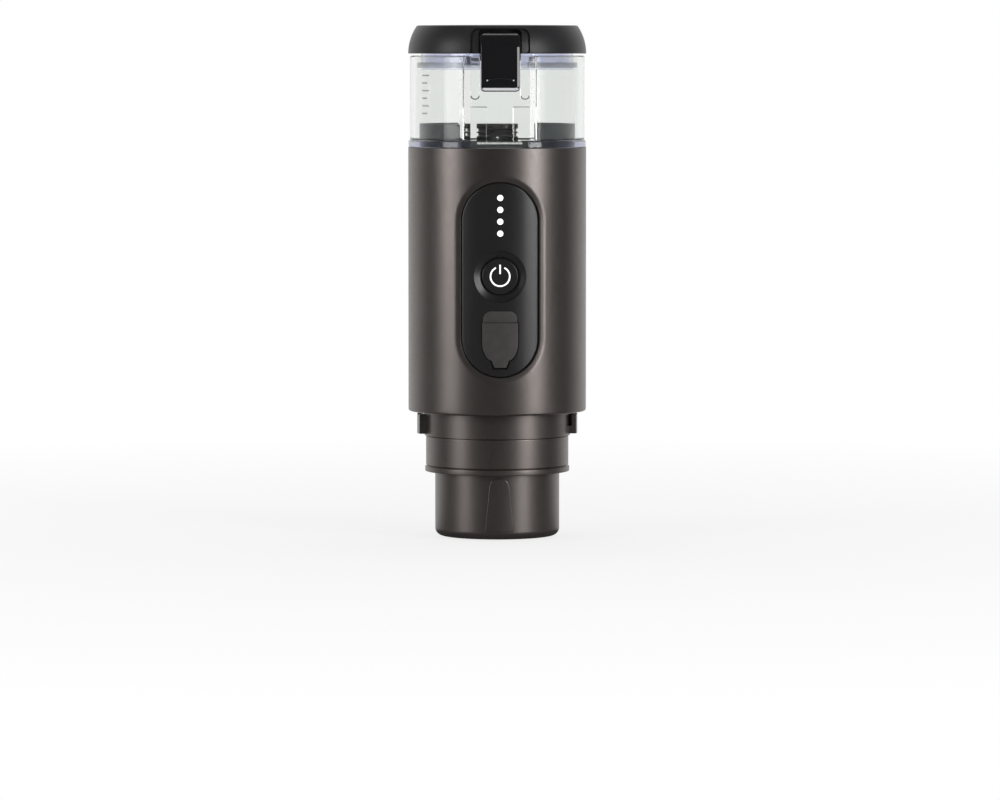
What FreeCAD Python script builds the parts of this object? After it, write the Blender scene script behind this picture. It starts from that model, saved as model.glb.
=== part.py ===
import FreeCAD, Part
import math
import os

# Portable espresso maker. Millimetres, +Z up, front towards -Y.
# The origin is the centre of the flat underside that it stands on.

# Heights of the outer pieces, stacked from the bottom up
shroud_height = 25.5
head_ring_height = 14.2
collar_height = 9.6
base_room = 29.3
foot_height = 2.7
tank_height = 33.1
lid_gap = 0.8
lid_height = 11.2

# Outer radii and walls
body_radius = 35.0
shell_wall = 2.5
foot_inset = 0.1
tank_inset = 0.65
tank_wall = 2.5
lid_top_inset = 3.0
lid_wall = 2.2
lid_edge_round = 0.9
collar_inset = 6.3
head_inset = 0.6
shroud_inset = 3.6
shroud_wall = 2.2
shroud_edge_round = 3.0
outlet_radius = 7.0

# Clearances
face_gap = 0.3
slide_gap = 0.2
run_gap = 0.05
end_play = 0.1

# Front channel of the tank and the latch that hangs in it
channel_width = 23.0
channel_depth = 4.35
latch_width = 15.8
latch_height = 22.8
latch_top_gap = 1.6
latch_thickness = 2.2
latch_proud = 1.6
latch_corner = 1.8
latch_pin_radius = 0.8
latch_pin_drop = 3.0
latch_pin_depth = 4.1
latch_pin_seat = 0.8
latch_lean = 2.9
latch_lean_height = 8.0
latch_bevel = 0.8
latch_bow = 0.32
latch_barrel_wall = 1.0
latch_web_inset = 1.0
rail_width = 3.6
rail_height = 17.0
rail_depth = 2.6
pad_height = 13.4
pad_width = 6.4
pad_depth = 2.2
catch_width = 13.0
catch_height = 1.4
catch_depth = 1.6
catch_drop = 7.0
hook_width = 12.6
hook_height = 2.0
hook_edge = 0.8
hook_root = 0.2

# Lid hinge at the rear
hinge_pin_radius = 1.0
knuckle_radius = 2.2
knuckle_width = 12.0
ear_width = 5.0
hinge_pin_drop = 2.4
hinge_pin_inset = 0.2
hinge_arm_rise = 2.0
notch_roof = 1.5
notch_corner = 3.0
notch_depth = 12.0
plug_depth = 5.5
plug_clear = 1.85
plug_wall = 1.8
plug_rim_height = 1.2
lid_gasket_height = 2.0
lid_gasket_rise = 0.8
lid_gasket_groove = 0.8

latch_spring_half = 2.6
spring_wire = 0.3
spring_clear = 0.35
spring_turn_gap = 0.05
spring_space_clear = 0.6

# Tank floor
spigot_clear = 1.25
spigot_wall = 2.2
spigot_height = 6.5
spigot_window_half = 15.0
spigot_window_rise = 0.2
spigot_corner = 2.0
skirt_depth = 5.6
heater_plate_thickness = 1.0
heating_element_thickness = 1.6
heating_element_margin = 3.5
strainer_radius = 8.2
strainer_height = 6.6
strainer_rim = 2.0
strainer_recess = 2.0
strainer_groove = 0.7
strainer_groove_levels = (0.35, 0.62)
strainer_slots = 6
strainer_slot_width = 1.2
strainer_slot_height = 1.0
strainer_slot_rise = 0.6
element_inset = 1.0
seal_section = 0.8
seal_squeeze = 0.02
base_plate_thickness = 2.5
plate_stand = 1.5
cutout_radius = 2.6
cutout_stub = 2.0
sensor_radius = 2.1
sensor_x = 12.0
seal_drop = 2.6

# Volume marks
mark_count = 6
mark_pitch = 2.95
mark_top_drop = 7.7
mark_angle = 217.2
mark_length = 4.2
mark_short_length = 3.0
mark_line = 0.6
mark_relief = 0.15

# Control panel
panel_width = 30.0
panel_rim = 2.8
panel_length = 75.5
panel_bottom_rise = 15.0
panel_depth = 0.8
rim_depth = 0.5
panel_thickness = 3.2
panel_flange = 2.4
button_boss_depth = 2.7
button_boss_wall = 0.6
boss_root = 0.4
light_radius = 1.3
light_count = 4
light_end_share = 1.348
light_proud = 0.05
button_radius = 7.65
button_dish_radius = 10.2
button_sink = 1.8
button_dish_slope = 1.2
button_rise = 39.1
button_travel = 0.8
button_thickness = 1.8
button_wall = 1.25
button_flange = 1.35
button_flange_thickness = 0.8
button_edge_round = 0.35
button_rest_gap = 0.1
symbol_radius = 4.25
symbol_line = 0.9
symbol_depth = 0.6
symbol_proud = 0.02
symbol_gap_angle = 52.0
symbol_bar_rise = 4.7
symbol_bar_length = 3.9

# Port flap and charging jack
flap_width = 14.0
flap_bottom_rise = 3.6
flap_height = 17.6
flap_tab_height = 4.6
flap_thickness = 1.7
flap_groove = 0.35
flap_bead_radius = 0.2
flap_bead_drop = 0.25
flap_corner = 1.6
flap_shoulder = 9.2
flap_proud = 0.15
pull_width = 6.3
pull_height = 2.8
pull_notch = 0.9
pull_corner = 1.2
pull_chamfer = 0.5
flap_bow_out = 0.78
flap_bow_up = 0.38
flap_tab_corner = 3.0
jack_rise = 9.6
jack_width = 9.0
jack_height = 11.0
jack_motor_gap = 0.5
jack_bore_radius = 2.8
jack_wall = 1.2
jack_pin_radius = 1.0
jack_pin_inset = 0.5
port_well_radius = 5.6
port_well_depth = 4.7
port_boss_wall = 2.4

# Main board
board_width = 26.0
board_clear = 5.5
board_thickness = 1.6
board_stand = 4.6
board_rise = 3.7
board_boss_radius = 2.0
board_boss_x = 10.6
board_boss_inset = 4.0
board_screw_depth = 3.0
switch_size = 6.0
switch_thickness = 2.4
switch_floor = 0.4
switch_plunger_radius = 1.7
led_size = 2.0
led_thickness = 1.0

# Battery cells and the trays that hold them
cell_radius = 9.1
cell_length = 65.0
cell_margin = 1.1
cell_angles = (150, 30, 90)
tray_floor = 2.0
tray_lip = 3.0
tray_post_radius = 2.4
tray_post_inset = 8.7
tray_post_y = -12.0
tray_board_clear = 1.4
cell_button_radius = 3.0
cell_button_height = 1.2
base_post_inset = 5.2
base_post_angles = (0, 90, 180)

# Motor
motor_radius = 12.0
motor_length = 28.0
motor_wall = 1.0
motor_cap_height = 3.0
magnet_thickness = 1.7
magnet_length = 20.0
magnet_half_span = 7.5
motor_air_gap = 0.4
armature_length = 16.0
armature_slot = 2.4
armature_poles = 3
armature_hub_radius = 3.4
winding_overhang = 2.2
winding_inset = 1.4
winding_bar_inset = 0.9
winding_clear = 0.1
winding_hub_wall = 1.0
shaft_end_gap = 0.4
shaft_radius = 1.0
bearing_radius = 2.8
bearing_height = 2.0

# Gear pump
gear_module = 0.7
gear_teeth = 12
gear_pressure_angle = 25.0
gear_addendum = 0.9
gear_dedendum = 1.25
gear_backlash = 0.12
gear_height = 8.0
gear_face_gap = 0.05
gear_tip_gap = 0.07
idler_radius = 1.5
stub_depth = 2.0
pump_wall = 2.6
pump_clear = 2.0
pump_top_thickness = 5.0
pump_cover_thickness = 3.6
pump_screw_length = 5.6
pump_screw_inset = 1.9
pump_side = 1.0
pump_shoulder = 3.0
passage_drop = 2.0
passage_half_width = 2.4
passage_half_height = 2.0
passage_start = 2.0
nipple_x = 15.0
nipple_offset = 4.4
nipple_radius = 1.6
nipple_bore = 0.9
nipple_length = 5.0
tube_wall = 0.8
tube_bend = 6.0
tube_end_gap = 0.5
seal_lip_height = 1.6

# Chassis and brewing end
chassis_floor = 3.0
chassis_hub = 2.5
collar_wall = 3.2
lug_stand = 2.9
lug_wall = 1.6
lug_height = 7.5
lug_angle = 26.0
lug_rise = 0.8
lug_overlap = 0.2
lug_web_share = 0.4
neck_gap = 0.4
neck_wall = 2.2
neck_height = 7.5
thread_starts = 3
thread_lead = 24.0
thread_tooth_height = 2.6
thread_tooth_depth = 1.2
thread_tooth_angle = 30.0
thread_clear = 0.4
thread_step = 5.0
thread_root = 0.6
thread_end_drop = 0.4
thread_end_clear = 2.0
brew_plate_thickness = 5.3
brew_plate_inset = 0.1
plenum_radius = 8.0
plenum_depth = 2.4
feed_half_width = 1.0
feed_depth = 2.0
brew_screw_inset = 4.4
brew_screw_angles = (30, 150, 270)
brew_screw_floor = 0.8
needle_count = 5
needle_circle = 5.2
needle_radius = 0.9
needle_length = 6.0
needle_bore = 0.45
needle_tip_length = 2.2
needle_tip_radius = 0.15
needle_side_hole = 0.35
needle_hole_rise = 0.2
gasket_inset = 2.0
gasket_width = 4.8
gasket_height = 2.6
gasket_hollow = 0.6
basket_flange_gap = 0.4
basket_flange_thickness = 2.4
basket_flange_width = 3.8
basket_seat_depth = 1.0
ledge_clear = 0.8
basket_seat_width = 3.3
basket_taper = 2.9
basket_wall = 1.3
basket_depth = 27.2
basket_key_width = 5.0
basket_key_height = 4.6
basket_key_wall = 1.0
basket_key_root = 0.5
basket_hole_radius = 0.9
basket_hole_margins = (7.5, 2.9)
basket_hole_counts = (6, 12)
sieve_thickness = 0.8
sieve_pip_radius = 0.8
sieve_pip_height = 1.2
sieve_pip_tip = 0.3
sieve_hole_radius = 0.35
sieve_clear = 0.1
sieve_margins = (9.5, 6.3, 3.1)
sieve_counts = (6, 12, 18)
head_ledge_thickness = 2.6
head_lip_height = 2.0
head_lip_proud = 0.35
head_groove = 0.35
head_groove_low = 0.25
head_groove_high = 0.6
shroud_insert = 5.0
spout_wall = 1.2
spout_inset = 9.3
spout_height = 8.8
spout_flange = 1.6
spout_floor = 0.6
rib_foot_half = 5.8
rib_top_half = 4.0
rib_height = 24.3
rib_proud = 0.3
rib_root = 0.8

# Screws
screw_radius = 1.0
screw_head_radius = 1.9
screw_head_height = 1.2
screw_length = 7.0
screw_slot_half = 0.25
screw_slot_depth = 0.3
shell_edge_round = 0.8
wall_overlap = 0.1

# Radii worked out from the body
foot_radius = body_radius - foot_inset
tank_radius = body_radius - tank_inset
tank_inner = tank_radius - tank_wall
lid_top_radius = body_radius - lid_top_inset
plug_radius = tank_inner - plug_clear
spigot_radius = tank_inner - spigot_clear
shell_inner = body_radius - shell_wall
tray_radius = shell_inner - face_gap
collar_radius = body_radius - collar_inset
lug_radius = collar_radius + lug_stand
collar_bore = collar_radius - collar_wall
neck_radius = collar_bore - neck_gap
neck_inner = neck_radius - neck_wall
head_radius = collar_radius - head_inset
shroud_radius = head_radius - shroud_inset
shroud_inner = shroud_radius - shroud_wall
spout_rim_radius = shroud_radius - spout_inset
basket_flange_radius = neck_inner - basket_flange_gap
basket_seat_radius = basket_flange_radius - basket_flange_width
basket_top_radius = basket_seat_radius - basket_seat_width
basket_floor_radius = basket_top_radius - basket_taper
brew_plate_radius = basket_flange_radius - brew_plate_inset
brew_screw_circle = brew_plate_radius - brew_screw_inset
gasket_outer = brew_plate_radius - gasket_inset
gasket_inner = gasket_outer - gasket_width

# Places inside the body: the cells stand along its wall and the pump and motor in front of the rear one
cell_circle = tray_radius - cell_radius - cell_margin
gear_pitch_radius = gear_module * gear_teeth / 2
gear_outer = gear_pitch_radius + gear_addendum * gear_module
chamber_radius = gear_outer + gear_tip_gap
pump_radius = chamber_radius + pump_wall
idler_y = cell_circle - cell_radius - pump_clear - pump_radius
motor_y = idler_y - 2 * gear_pitch_radius
nipple_y = idler_y - nipple_offset

# Levels worked out from the heights
shell_height = chassis_hub + chassis_floor + 2 * tray_floor + cell_length + base_room
z_head = shroud_height
z_collar = z_head + head_ring_height
z_shell = z_collar + collar_height
z_foot = z_shell + shell_height
z_tank = z_foot + foot_height
z_rim = z_tank + tank_height
z_lid = z_rim + lid_gap
z_top = z_lid + lid_height
z_chassis = z_shell + chassis_hub
z_tray = z_chassis + chassis_floor

V = FreeCAD.Vector
AXIS_X = V(1, 0, 0)
AXIS_Y = V(0, 1, 0)
AXIS_Z = V(0, 0, 1)


# Basic shapes

def rod(radius, z0, z1, x=0.0, y=0.0):
    return Part.makeCylinder(radius, z1 - z0, V(x, y, z0))


def rod_x(radius, x0, x1, y, z):
    return Part.makeCylinder(radius, x1 - x0, V(x0, y, z), AXIS_X)


def rod_y(radius, y0, y1, x, z):
    return Part.makeCylinder(radius, y1 - y0, V(x, y0, z), AXIS_Y)


def cone(radius0, radius1, z0, z1, x=0.0, y=0.0):
    return Part.makeCone(radius0, radius1, z1 - z0, V(x, y, z0), AXIS_Z)


def tube(outer, inner, z0, z1, x=0.0, y=0.0):
    return rod(outer, z0, z1, x, y).cut(rod(inner, z0, z1, x, y))


def block(x0, x1, y0, y1, z0, z1):
    return Part.makeBox(x1 - x0, y1 - y0, z1 - z0, V(x0, y0, z0))


def torus(radius, section, z, x=0.0, y=0.0):
    return Part.makeTorus(radius, section, V(x, y, z), AXIS_Z)


def joined(shapes):
    whole = shapes[0]
    if len(shapes) > 1:
        whole = whole.fuse(shapes[1:])
    return whole.removeSplitter()


def turned(points):
    # Closed outline of (radius, z) points turned about the main axis
    corners = [V(r, 0, z) for r, z in points]
    outline = Part.makePolygon(corners + [corners[0]])
    return Part.Face(outline).revolve(V(0, 0, 0), AXIS_Z, 360)


def plate_yz(points, x0, x1):
    # Outline of (y, z) points made x0 to x1 wide
    corners = [V(x0, y, z) for y, z in points]
    outline = Part.makePolygon(corners + [corners[0]])
    return Part.Face(outline).extrude(V(x1 - x0, 0, 0))


def plate_xz(points, y0, y1):
    # Outline of (x, z) points made y0 to y1 deep
    corners = [V(x, y0, z) for x, z in points]
    outline = Part.makePolygon(corners + [corners[0]])
    return Part.Face(outline).extrude(V(0, y1 - y0, 0))


def rounded_plate(x0, x1, z0, z1, y0, y1, radius):
    # Flat plate facing the front, with its four corners rounded
    plate = block(x0, x1, y0, y1, z0, z1)
    corners = [e for e in plate.Edges if abs(e.tangentAt(e.FirstParameter).y) > 0.9]
    return plate.makeFillet(radius, corners)


def slot_plate(half_width, z0, z1, y0, y1):
    # Plate with two straight sides and half-round ends
    middle = block(-half_width, half_width, y0, y1, z0 + half_width, z1 - half_width)
    low = rod_y(half_width, y0, y1, 0, z0 + half_width)
    high = rod_y(half_width, y0, y1, 0, z1 - half_width)
    return joined([middle, low, high])


def around(shape, count, start=0.0):
    copies = []
    for i in range(count):
        copy = shape.copy()
        copy.rotate(V(0, 0, 0), AXIS_Z, start + i * 360.0 / count)
        copies.append(copy)
    return copies


def helix_bar(r_in, r_out, height, angle0, span, z_mid, lead):
    # Bar of rectangular section that climbs with the thread; z_mid is its middle height at angle0
    sections = []
    steps = max(2, int(math.ceil(span / thread_step)))
    for i in range(steps + 1):
        angle = math.radians(angle0 + span * i / steps)
        z = z_mid + lead * (span * i / steps) / 360.0
        c, s = math.cos(angle), math.sin(angle)
        corners = [V(r_in * c, r_in * s, z - height / 2), V(r_out * c, r_out * s, z - height / 2),
                   V(r_out * c, r_out * s, z + height / 2), V(r_in * c, r_in * s, z + height / 2)]
        sections.append(Part.makePolygon(corners + [corners[0]]))
    return Part.makeLoft(sections, True, True)


def screw(x, y, z_head_face, up=True, length=screw_length):
    # Round-headed screw on a vertical axis, its head face at the given height
    way = 1 if up else -1
    shank = Part.makeCylinder(screw_radius, length, V(x, y, z_head_face), V(0, 0, way))
    head = Part.makeCylinder(screw_head_radius, screw_head_height, V(x, y, z_head_face), V(0, 0, -way))
    slot = block(x - screw_head_radius, x + screw_head_radius, y - screw_slot_half, y + screw_slot_half,
                 -screw_slot_depth, screw_slot_depth)
    slot.translate(V(0, 0, z_head_face - way * screw_head_height))
    return shank.fuse(head).cut(slot)


# Tank

channel_y = -(tank_radius - channel_depth)
channel_half = channel_width / 2
heating_element_radius = -channel_y - tank_wall - heating_element_margin
hinge_y = tank_radius - hinge_pin_inset
hinge_z = z_lid - hinge_pin_drop
catch_z = z_rim - catch_drop
latch_face_y = -(body_radius + latch_proud)
latch_back_y = latch_face_y + latch_thickness


def channel_box(side_gap, depth_gap, z0, z1):
    # Space of the front channel, wider and deeper by the gaps
    half = channel_half + side_gap
    return block(-half, half, -body_radius - 1, channel_y + depth_gap, z0, z1)


def water_tank():
    z_skirt = z_foot - skirt_depth
    wall = tube(tank_radius, tank_inner, z_foot, z_rim)
    floor = block(-channel_half - tank_wall, channel_half + tank_wall, -tank_radius,
                  channel_y + tank_wall, z_foot, z_rim)
    floor = floor.common(rod(tank_radius, z_foot, z_rim))
    tank = wall.fuse(floor).cut(channel_box(0, 0, z_tank, z_rim + 1))
    flange = tube(foot_radius, spigot_radius + slide_gap, z_foot, z_tank)
    flange = flange.cut(block(-channel_half - tank_wall - slide_gap, channel_half + tank_wall + slide_gap,
                              channel_y + tank_wall, 0, z_foot, z_tank))
    skirt = tube(body_radius - shell_wall - slide_gap, spigot_radius + slide_gap, z_skirt, z_foot)
    pieces = [tank, flange, skirt]
    for side in (-1, 1):
        x_rail = side * (channel_half - rail_width)
        rail = block(min(x_rail, side * channel_half), max(x_rail, side * channel_half),
                     channel_y - rail_depth, channel_y, z_rim - rail_height + rail_width / 2, z_rim)
        foot = rod_y(rail_width / 2, channel_y - rail_depth, channel_y,
                     side * (channel_half - rail_width / 2), z_rim - rail_height + rail_width / 2)
        x_pad = side * (channel_half - pad_width)
        pad = block(min(x_pad, side * channel_half), max(x_pad, side * channel_half),
                    channel_y - pad_depth, channel_y, z_tank, z_tank + pad_height)
        x_ear = side * (knuckle_width / 2 + slide_gap)
        ear0, ear1 = sorted((x_ear, x_ear + side * ear_width))
        ear = rod_x(knuckle_radius, ear0, ear1, hinge_y, hinge_z)
        root = block(ear0, ear1, tank_radius - tank_wall, hinge_y, hinge_z - knuckle_radius, z_rim)
        pieces += [rail, foot, pad, ear, root]
    catch = plate_yz([(channel_y, catch_z + catch_depth), (channel_y - catch_depth, catch_z),
                      (channel_y - catch_depth, catch_z - catch_height), (channel_y, catch_z - catch_height)],
                     -catch_width / 2, catch_width / 2)
    pieces.append(catch)
    tank = joined(pieces)
    tank = tank.cut(rod_x(hinge_pin_radius, -tank_radius, tank_radius, hinge_y, hinge_z))
    return tank.cut(rod_x(knuckle_radius + slide_gap, -knuckle_width / 2 - slide_gap,
                          knuckle_width / 2 + slide_gap, hinge_y, hinge_z))


def tank_marks():
    # Short raised lines on the wall, the longer ones at every second level
    marks = []
    for i in range(mark_count):
        z = z_rim - mark_top_drop - i * mark_pitch
        length = mark_length if i % 2 == 0 else mark_short_length
        line = block(0, tank_radius + mark_relief, 0, length, z - mark_line / 2, z + mark_line / 2)
        line = line.cut(rod(tank_radius, z - 1, z + 1))
        line.rotate(V(0, 0, 0), AXIS_Z, mark_angle - math.degrees(mark_length / tank_radius))
        marks.append(line)
    return Part.makeCompound(marks)


def heater_base():
    # Black ring that plugs the tank from below, with the floor that carries the heater
    z_low = z_foot - skirt_depth
    z_floor = z_foot - base_plate_thickness
    wall = tube(spigot_radius, spigot_radius - spigot_wall, z_low, z_tank + spigot_height)
    wall = wall.cut(channel_box(tank_wall + face_gap, tank_wall + face_gap, z_foot - face_gap, z_rim))
    window = rounded_plate(-spigot_window_half, spigot_window_half, z_tank + spigot_window_rise, z_rim,
                           -body_radius, body_radius, spigot_corner)
    wall = wall.cut(window)
    floor = tube(spigot_radius - spigot_wall / 2, heating_element_radius + slide_gap,
                 z_foot, z_foot + plate_stand)
    floor = floor.cut(channel_box(tank_wall + face_gap, tank_wall + face_gap, z_foot - face_gap, z_rim))
    under = rod(spigot_radius, z_low, z_floor)
    under = under.cut(rod(nipple_radius + slide_gap, z_low - 1, z_foot))
    under = under.cut(rod(cutout_radius + slide_gap, z_low - 1, z_foot, sensor_x, 0))
    under = under.cut(rod(sensor_radius + slide_gap, z_low - 1, z_foot, -sensor_x, 0))
    base = joined([wall, floor, under])
    return base.cut(torus(spigot_radius, seal_section, z_low + seal_drop))


def tank_seal():
    ring = torus(spigot_radius, seal_section - seal_squeeze, z_foot - skirt_depth + seal_drop)
    return ring.cut(tube(spigot_radius + 3, spigot_radius + slide_gap - seal_squeeze,
                         z_foot - skirt_depth, z_foot))


def heater_plate():
    z = z_foot + plate_stand
    plate = rod(spigot_radius - spigot_wall, z, z + heater_plate_thickness)
    plate = plate.cut(channel_box(tank_wall + face_gap, tank_wall + face_gap, z_foot, z_rim))
    return plate.cut(rod(nipple_radius, z - 1, z + 2))


def heating_element():
    z = z_foot + plate_stand
    return tube(heating_element_radius, nipple_radius + element_inset, z - heating_element_thickness, z)


def strainer():
    # Round boss in the middle of the tank floor with two seal grooves and slots for the water
    z = z_foot + plate_stand + heater_plate_thickness
    top = z + strainer_height
    boss = rod(strainer_radius, z, top)
    stem = rod(nipple_radius, z_foot - skirt_depth - nipple_length, z)
    whole = joined([boss, stem])
    tools = [rod(strainer_radius - strainer_rim, top - strainer_recess, top + 1)]
    for level in strainer_groove_levels:
        tools.append(torus(strainer_radius, strainer_groove, z + strainer_height * level))
    z_slot = z + strainer_slot_rise
    slot = block(0, strainer_radius + 1, -strainer_slot_width / 2, strainer_slot_width / 2,
                 z_slot, z_slot + strainer_slot_height)
    tools += around(slot, strainer_slots, 180.0 / strainer_slots)
    tools.append(rod(nipple_bore, z_foot - skirt_depth - nipple_length - 1, top + 1))
    return whole.cut(tools)


def thermal_cutout():
    z = z_foot + plate_stand - heating_element_thickness
    return rod(cutout_radius, z_foot - skirt_depth - cutout_stub, z, sensor_x, 0)


def temperature_sensor():
    z = z_foot + plate_stand - heating_element_thickness
    return rod(sensor_radius, z_foot - skirt_depth, z, -sensor_x, 0)


# Lid and latch

notch_top = z_top - notch_roof
latch_z1 = notch_top - latch_top_gap
latch_z0 = latch_z1 - latch_height
latch_pin_z = latch_z1 - latch_pin_drop
latch_pin_y = -(body_radius - latch_pin_depth)
latch_pin_reach = channel_half + latch_pin_seat


def lid_outline(inset):
    # Half section of the domed lid, drawn inwards by the inset; its side leaves the rim upright
    r_low = body_radius - inset
    r_high = lid_top_radius - inset
    top = z_top - inset
    rise = top - lid_edge_round - z_lid
    fall = r_low - r_high
    bend = (rise ** 2 + fall ** 2) / (2 * fall)
    half_angle = math.asin(rise / bend) / 2
    mid = V(r_low - bend + bend * math.cos(half_angle), 0, z_lid + bend * math.sin(half_angle))
    shoulder = Part.Arc(V(r_low, 0, z_lid), mid, V(r_high, 0, z_lid + rise)).toShape()
    k = lid_edge_round * (1 - math.sqrt(0.5))
    corner = Part.Arc(V(r_high, 0, z_lid + rise), V(r_high - k, 0, top - k),
                      V(r_high - lid_edge_round, 0, top)).toShape()
    lines = [V(r_high - lid_edge_round, 0, top), V(0, 0, top), V(0, 0, z_lid), V(r_low, 0, z_lid)]
    edges = [shoulder, corner] + [Part.makeLine(a, b) for a, b in zip(lines, lines[1:])]
    return Part.Face(Part.Wire(edges)).revolve(V(0, 0, 0), AXIS_Z, 360)


def notch_space(grow):
    # Space of the lid's front notch, made smaller all round by the given amount
    half = channel_half - grow
    y_back = channel_y + tank_wall - grow
    return rounded_plate(-half, half, z_lid - notch_depth, notch_top - grow, -2 * body_radius, y_back,
                         notch_corner - grow / 2)


def lid_shell():
    shell = lid_outline(0).cut(lid_outline(lid_wall))
    cheek = lid_outline(0).common(notch_space(-lid_wall))
    shell = shell.fuse(cheek).cut(notch_space(0))
    knuckle = rod_x(knuckle_radius, -knuckle_width / 2, knuckle_width / 2, hinge_y, hinge_z)
    arm = block(-knuckle_width / 2, knuckle_width / 2, body_radius - lid_wall + face_gap,
                hinge_y + knuckle_radius, hinge_z, z_lid + hinge_arm_rise)
    arm = arm.common(rod(hinge_y + knuckle_radius, hinge_z - 1, z_top))
    shell = joined([shell, knuckle, arm])
    shell = shell.cut(rod_x(hinge_pin_radius + run_gap, -knuckle_width, knuckle_width, hinge_y, hinge_z))
    return shell.cut(rod_x(latch_pin_radius, -latch_pin_reach, latch_pin_reach, latch_pin_y, latch_pin_z))


def lid_plug():
    # Cup under the lid that carries the gasket
    z_low = z_rim - plug_depth
    z_high = z_lid + plug_rim_height
    cup = rod(plug_radius, z_low, z_high).cut(rod(plug_radius - plug_wall, z_low + plug_wall, z_high + 1))
    rim = tube(body_radius - lid_wall - face_gap, plug_radius - plug_wall, z_lid, z_high)
    plug = cup.fuse(rim).cut(channel_box(tank_wall + face_gap, tank_wall + face_gap, z_low - 1, z_top))
    lip = block(-channel_half - tank_wall - face_gap, channel_half + tank_wall + face_gap,
                channel_y + tank_wall + face_gap, channel_y + tank_wall + face_gap + plug_wall, z_low, z_high)
    lip = lip.common(rod(plug_radius, z_low, z_high))
    plug = joined([plug, lip])
    cheek = block(-channel_half - lid_wall - face_gap, channel_half + lid_wall + face_gap, -body_radius,
                  channel_y + tank_wall + lid_wall + face_gap, z_lid, z_top)
    return plug.cut([lid_gasket_space(), cheek])


def lid_gasket_space():
    z = z_rim - plug_depth + lid_gasket_rise
    return tube(plug_radius + 3, plug_radius - lid_gasket_groove, z, z + lid_gasket_height)


def lid_gasket():
    z = z_rim - plug_depth + lid_gasket_rise
    ring = tube(tank_inner - face_gap, plug_radius - lid_gasket_groove, z, z + lid_gasket_height)
    return ring.cut(channel_box(tank_wall + face_gap, tank_wall + face_gap, z_tank, z_top))


def lid_hinge_pin():
    reach = knuckle_width / 2 + slide_gap + ear_width
    return rod_x(hinge_pin_radius, -reach, reach, hinge_y, hinge_z)


def latch_pin():
    return rod_x(latch_pin_radius, -latch_pin_reach, latch_pin_reach, latch_pin_y, latch_pin_z)


def latch_section():
    # Side view of the latch: upright below, leaning back with the lid's shoulder above
    z_lean = latch_z1 - latch_lean_height
    y0, y1 = latch_face_y, latch_back_y
    mid_y = latch_lean * latch_bow
    mid_z = (z_lean + latch_z1) / 2
    front = Part.Arc(V(0, y0 + latch_lean, latch_z1), V(0, y0 + mid_y, mid_z), V(0, y0, z_lean)).toShape()
    back = Part.Arc(V(0, y1, z_lean), V(0, y1 + mid_y, mid_z), V(0, y1 + latch_lean, latch_z1)).toShape()
    lines = [V(0, y0, z_lean), V(0, y0, latch_z0 + latch_bevel), V(0, y0 + latch_bevel, latch_z0),
             V(0, y1, latch_z0), V(0, y1, z_lean)]
    edges = [front] + [Part.makeLine(a, b) for a, b in zip(lines, lines[1:])] + [back]
    edges.append(Part.makeLine(V(0, y1 + latch_lean, latch_z1), V(0, y0 + latch_lean, latch_z1)))
    return Part.Face(Part.Wire(edges))


def latch_plate():
    half = latch_width / 2
    section = latch_section()
    section.translate(V(-half, 0, 0))
    plate = section.extrude(V(2 * half, 0, 0))
    plate = plate.common(rounded_plate(-half, half, latch_z0, latch_z1, -2 * body_radius, 0, latch_corner))
    barrel_radius = latch_pin_radius + latch_barrel_wall
    barrel = rod_x(barrel_radius, -half, half, latch_pin_y, latch_pin_z)
    web = block(-half + latch_web_inset, half - latch_web_inset, latch_back_y, latch_pin_y,
                latch_pin_z - barrel_radius, latch_pin_z)
    hook_z = catch_z - catch_height - slide_gap
    hook_y = channel_y - catch_depth - slide_gap
    root_y = latch_back_y - hook_root
    hook = plate_yz([(root_y, hook_z), (hook_y, hook_z), (hook_y, hook_z - hook_edge),
                     (root_y, hook_z - hook_height)], -hook_width / 2, hook_width / 2)
    latch = joined([plate, barrel, web, hook])
    reach = latch_pin_radius + 2 * spring_wire + spring_space_clear
    spring_space = rod_x(reach, -latch_spring_half - slide_gap, latch_spring_half + slide_gap,
                         latch_pin_y, latch_pin_z)
    front_skin = section.extrude(V(2 * half, 0, 0))
    latch = latch.cut(spring_space.cut(front_skin))
    return latch.cut(rod_x(latch_pin_radius + run_gap, -half - 1, half + 1, latch_pin_y, latch_pin_z))


def latch_spring():
    # Coil round the latch pin, wound as close turns
    radius = latch_pin_radius + spring_clear + spring_wire
    pitch = spring_wire * 2 + spring_turn_gap
    turns = int(2 * (latch_spring_half - spring_wire) / pitch)
    helix = Part.makeHelix(pitch, turns * pitch, radius)
    profile = Part.Wire(Part.makeCircle(spring_wire, V(radius, 0, 0), AXIS_Y))
    coil = Part.Wire(helix).makePipeShell([profile], True, True)
    coil.rotate(V(0, 0, 0), AXIS_Y, 90)
    coil.translate(V(-turns * pitch / 2, latch_pin_y, latch_pin_z))
    return coil


# Body shell and control panel

panel_z0 = z_shell + panel_bottom_rise
panel_z1 = panel_z0 + panel_length
panel_half = panel_width / 2
panel_radius = body_radius - panel_depth
panel_back = panel_radius - panel_thickness
button_z = panel_z0 + button_rise
button_y = -(panel_radius - button_sink)
boss_y = button_y + button_boss_depth + button_dish_slope
flap_z0 = panel_z0 + flap_bottom_rise
flap_z1 = flap_z0 + flap_height
flap_back_y = -(panel_radius - flap_thickness)
flap_bead_y = -(panel_radius + flap_proud - flap_bead_radius)
pocket_y = flap_back_y + face_gap
jack_z = flap_z0 + jack_rise
jack_front_y = pocket_y + port_well_depth
jack_depth = motor_y - motor_radius - jack_motor_gap - jack_front_y
jack_bore_depth = jack_depth - jack_wall
board_z0 = panel_z0 + board_rise
board_z1 = board_z0 + panel_length - board_clear
board_y0 = -panel_back + board_stand
board_y1 = board_y0 + board_thickness
light_room = panel_length - button_rise - button_dish_radius
light_pitch = light_room / (light_count - 1 + 2 * light_end_share)


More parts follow.
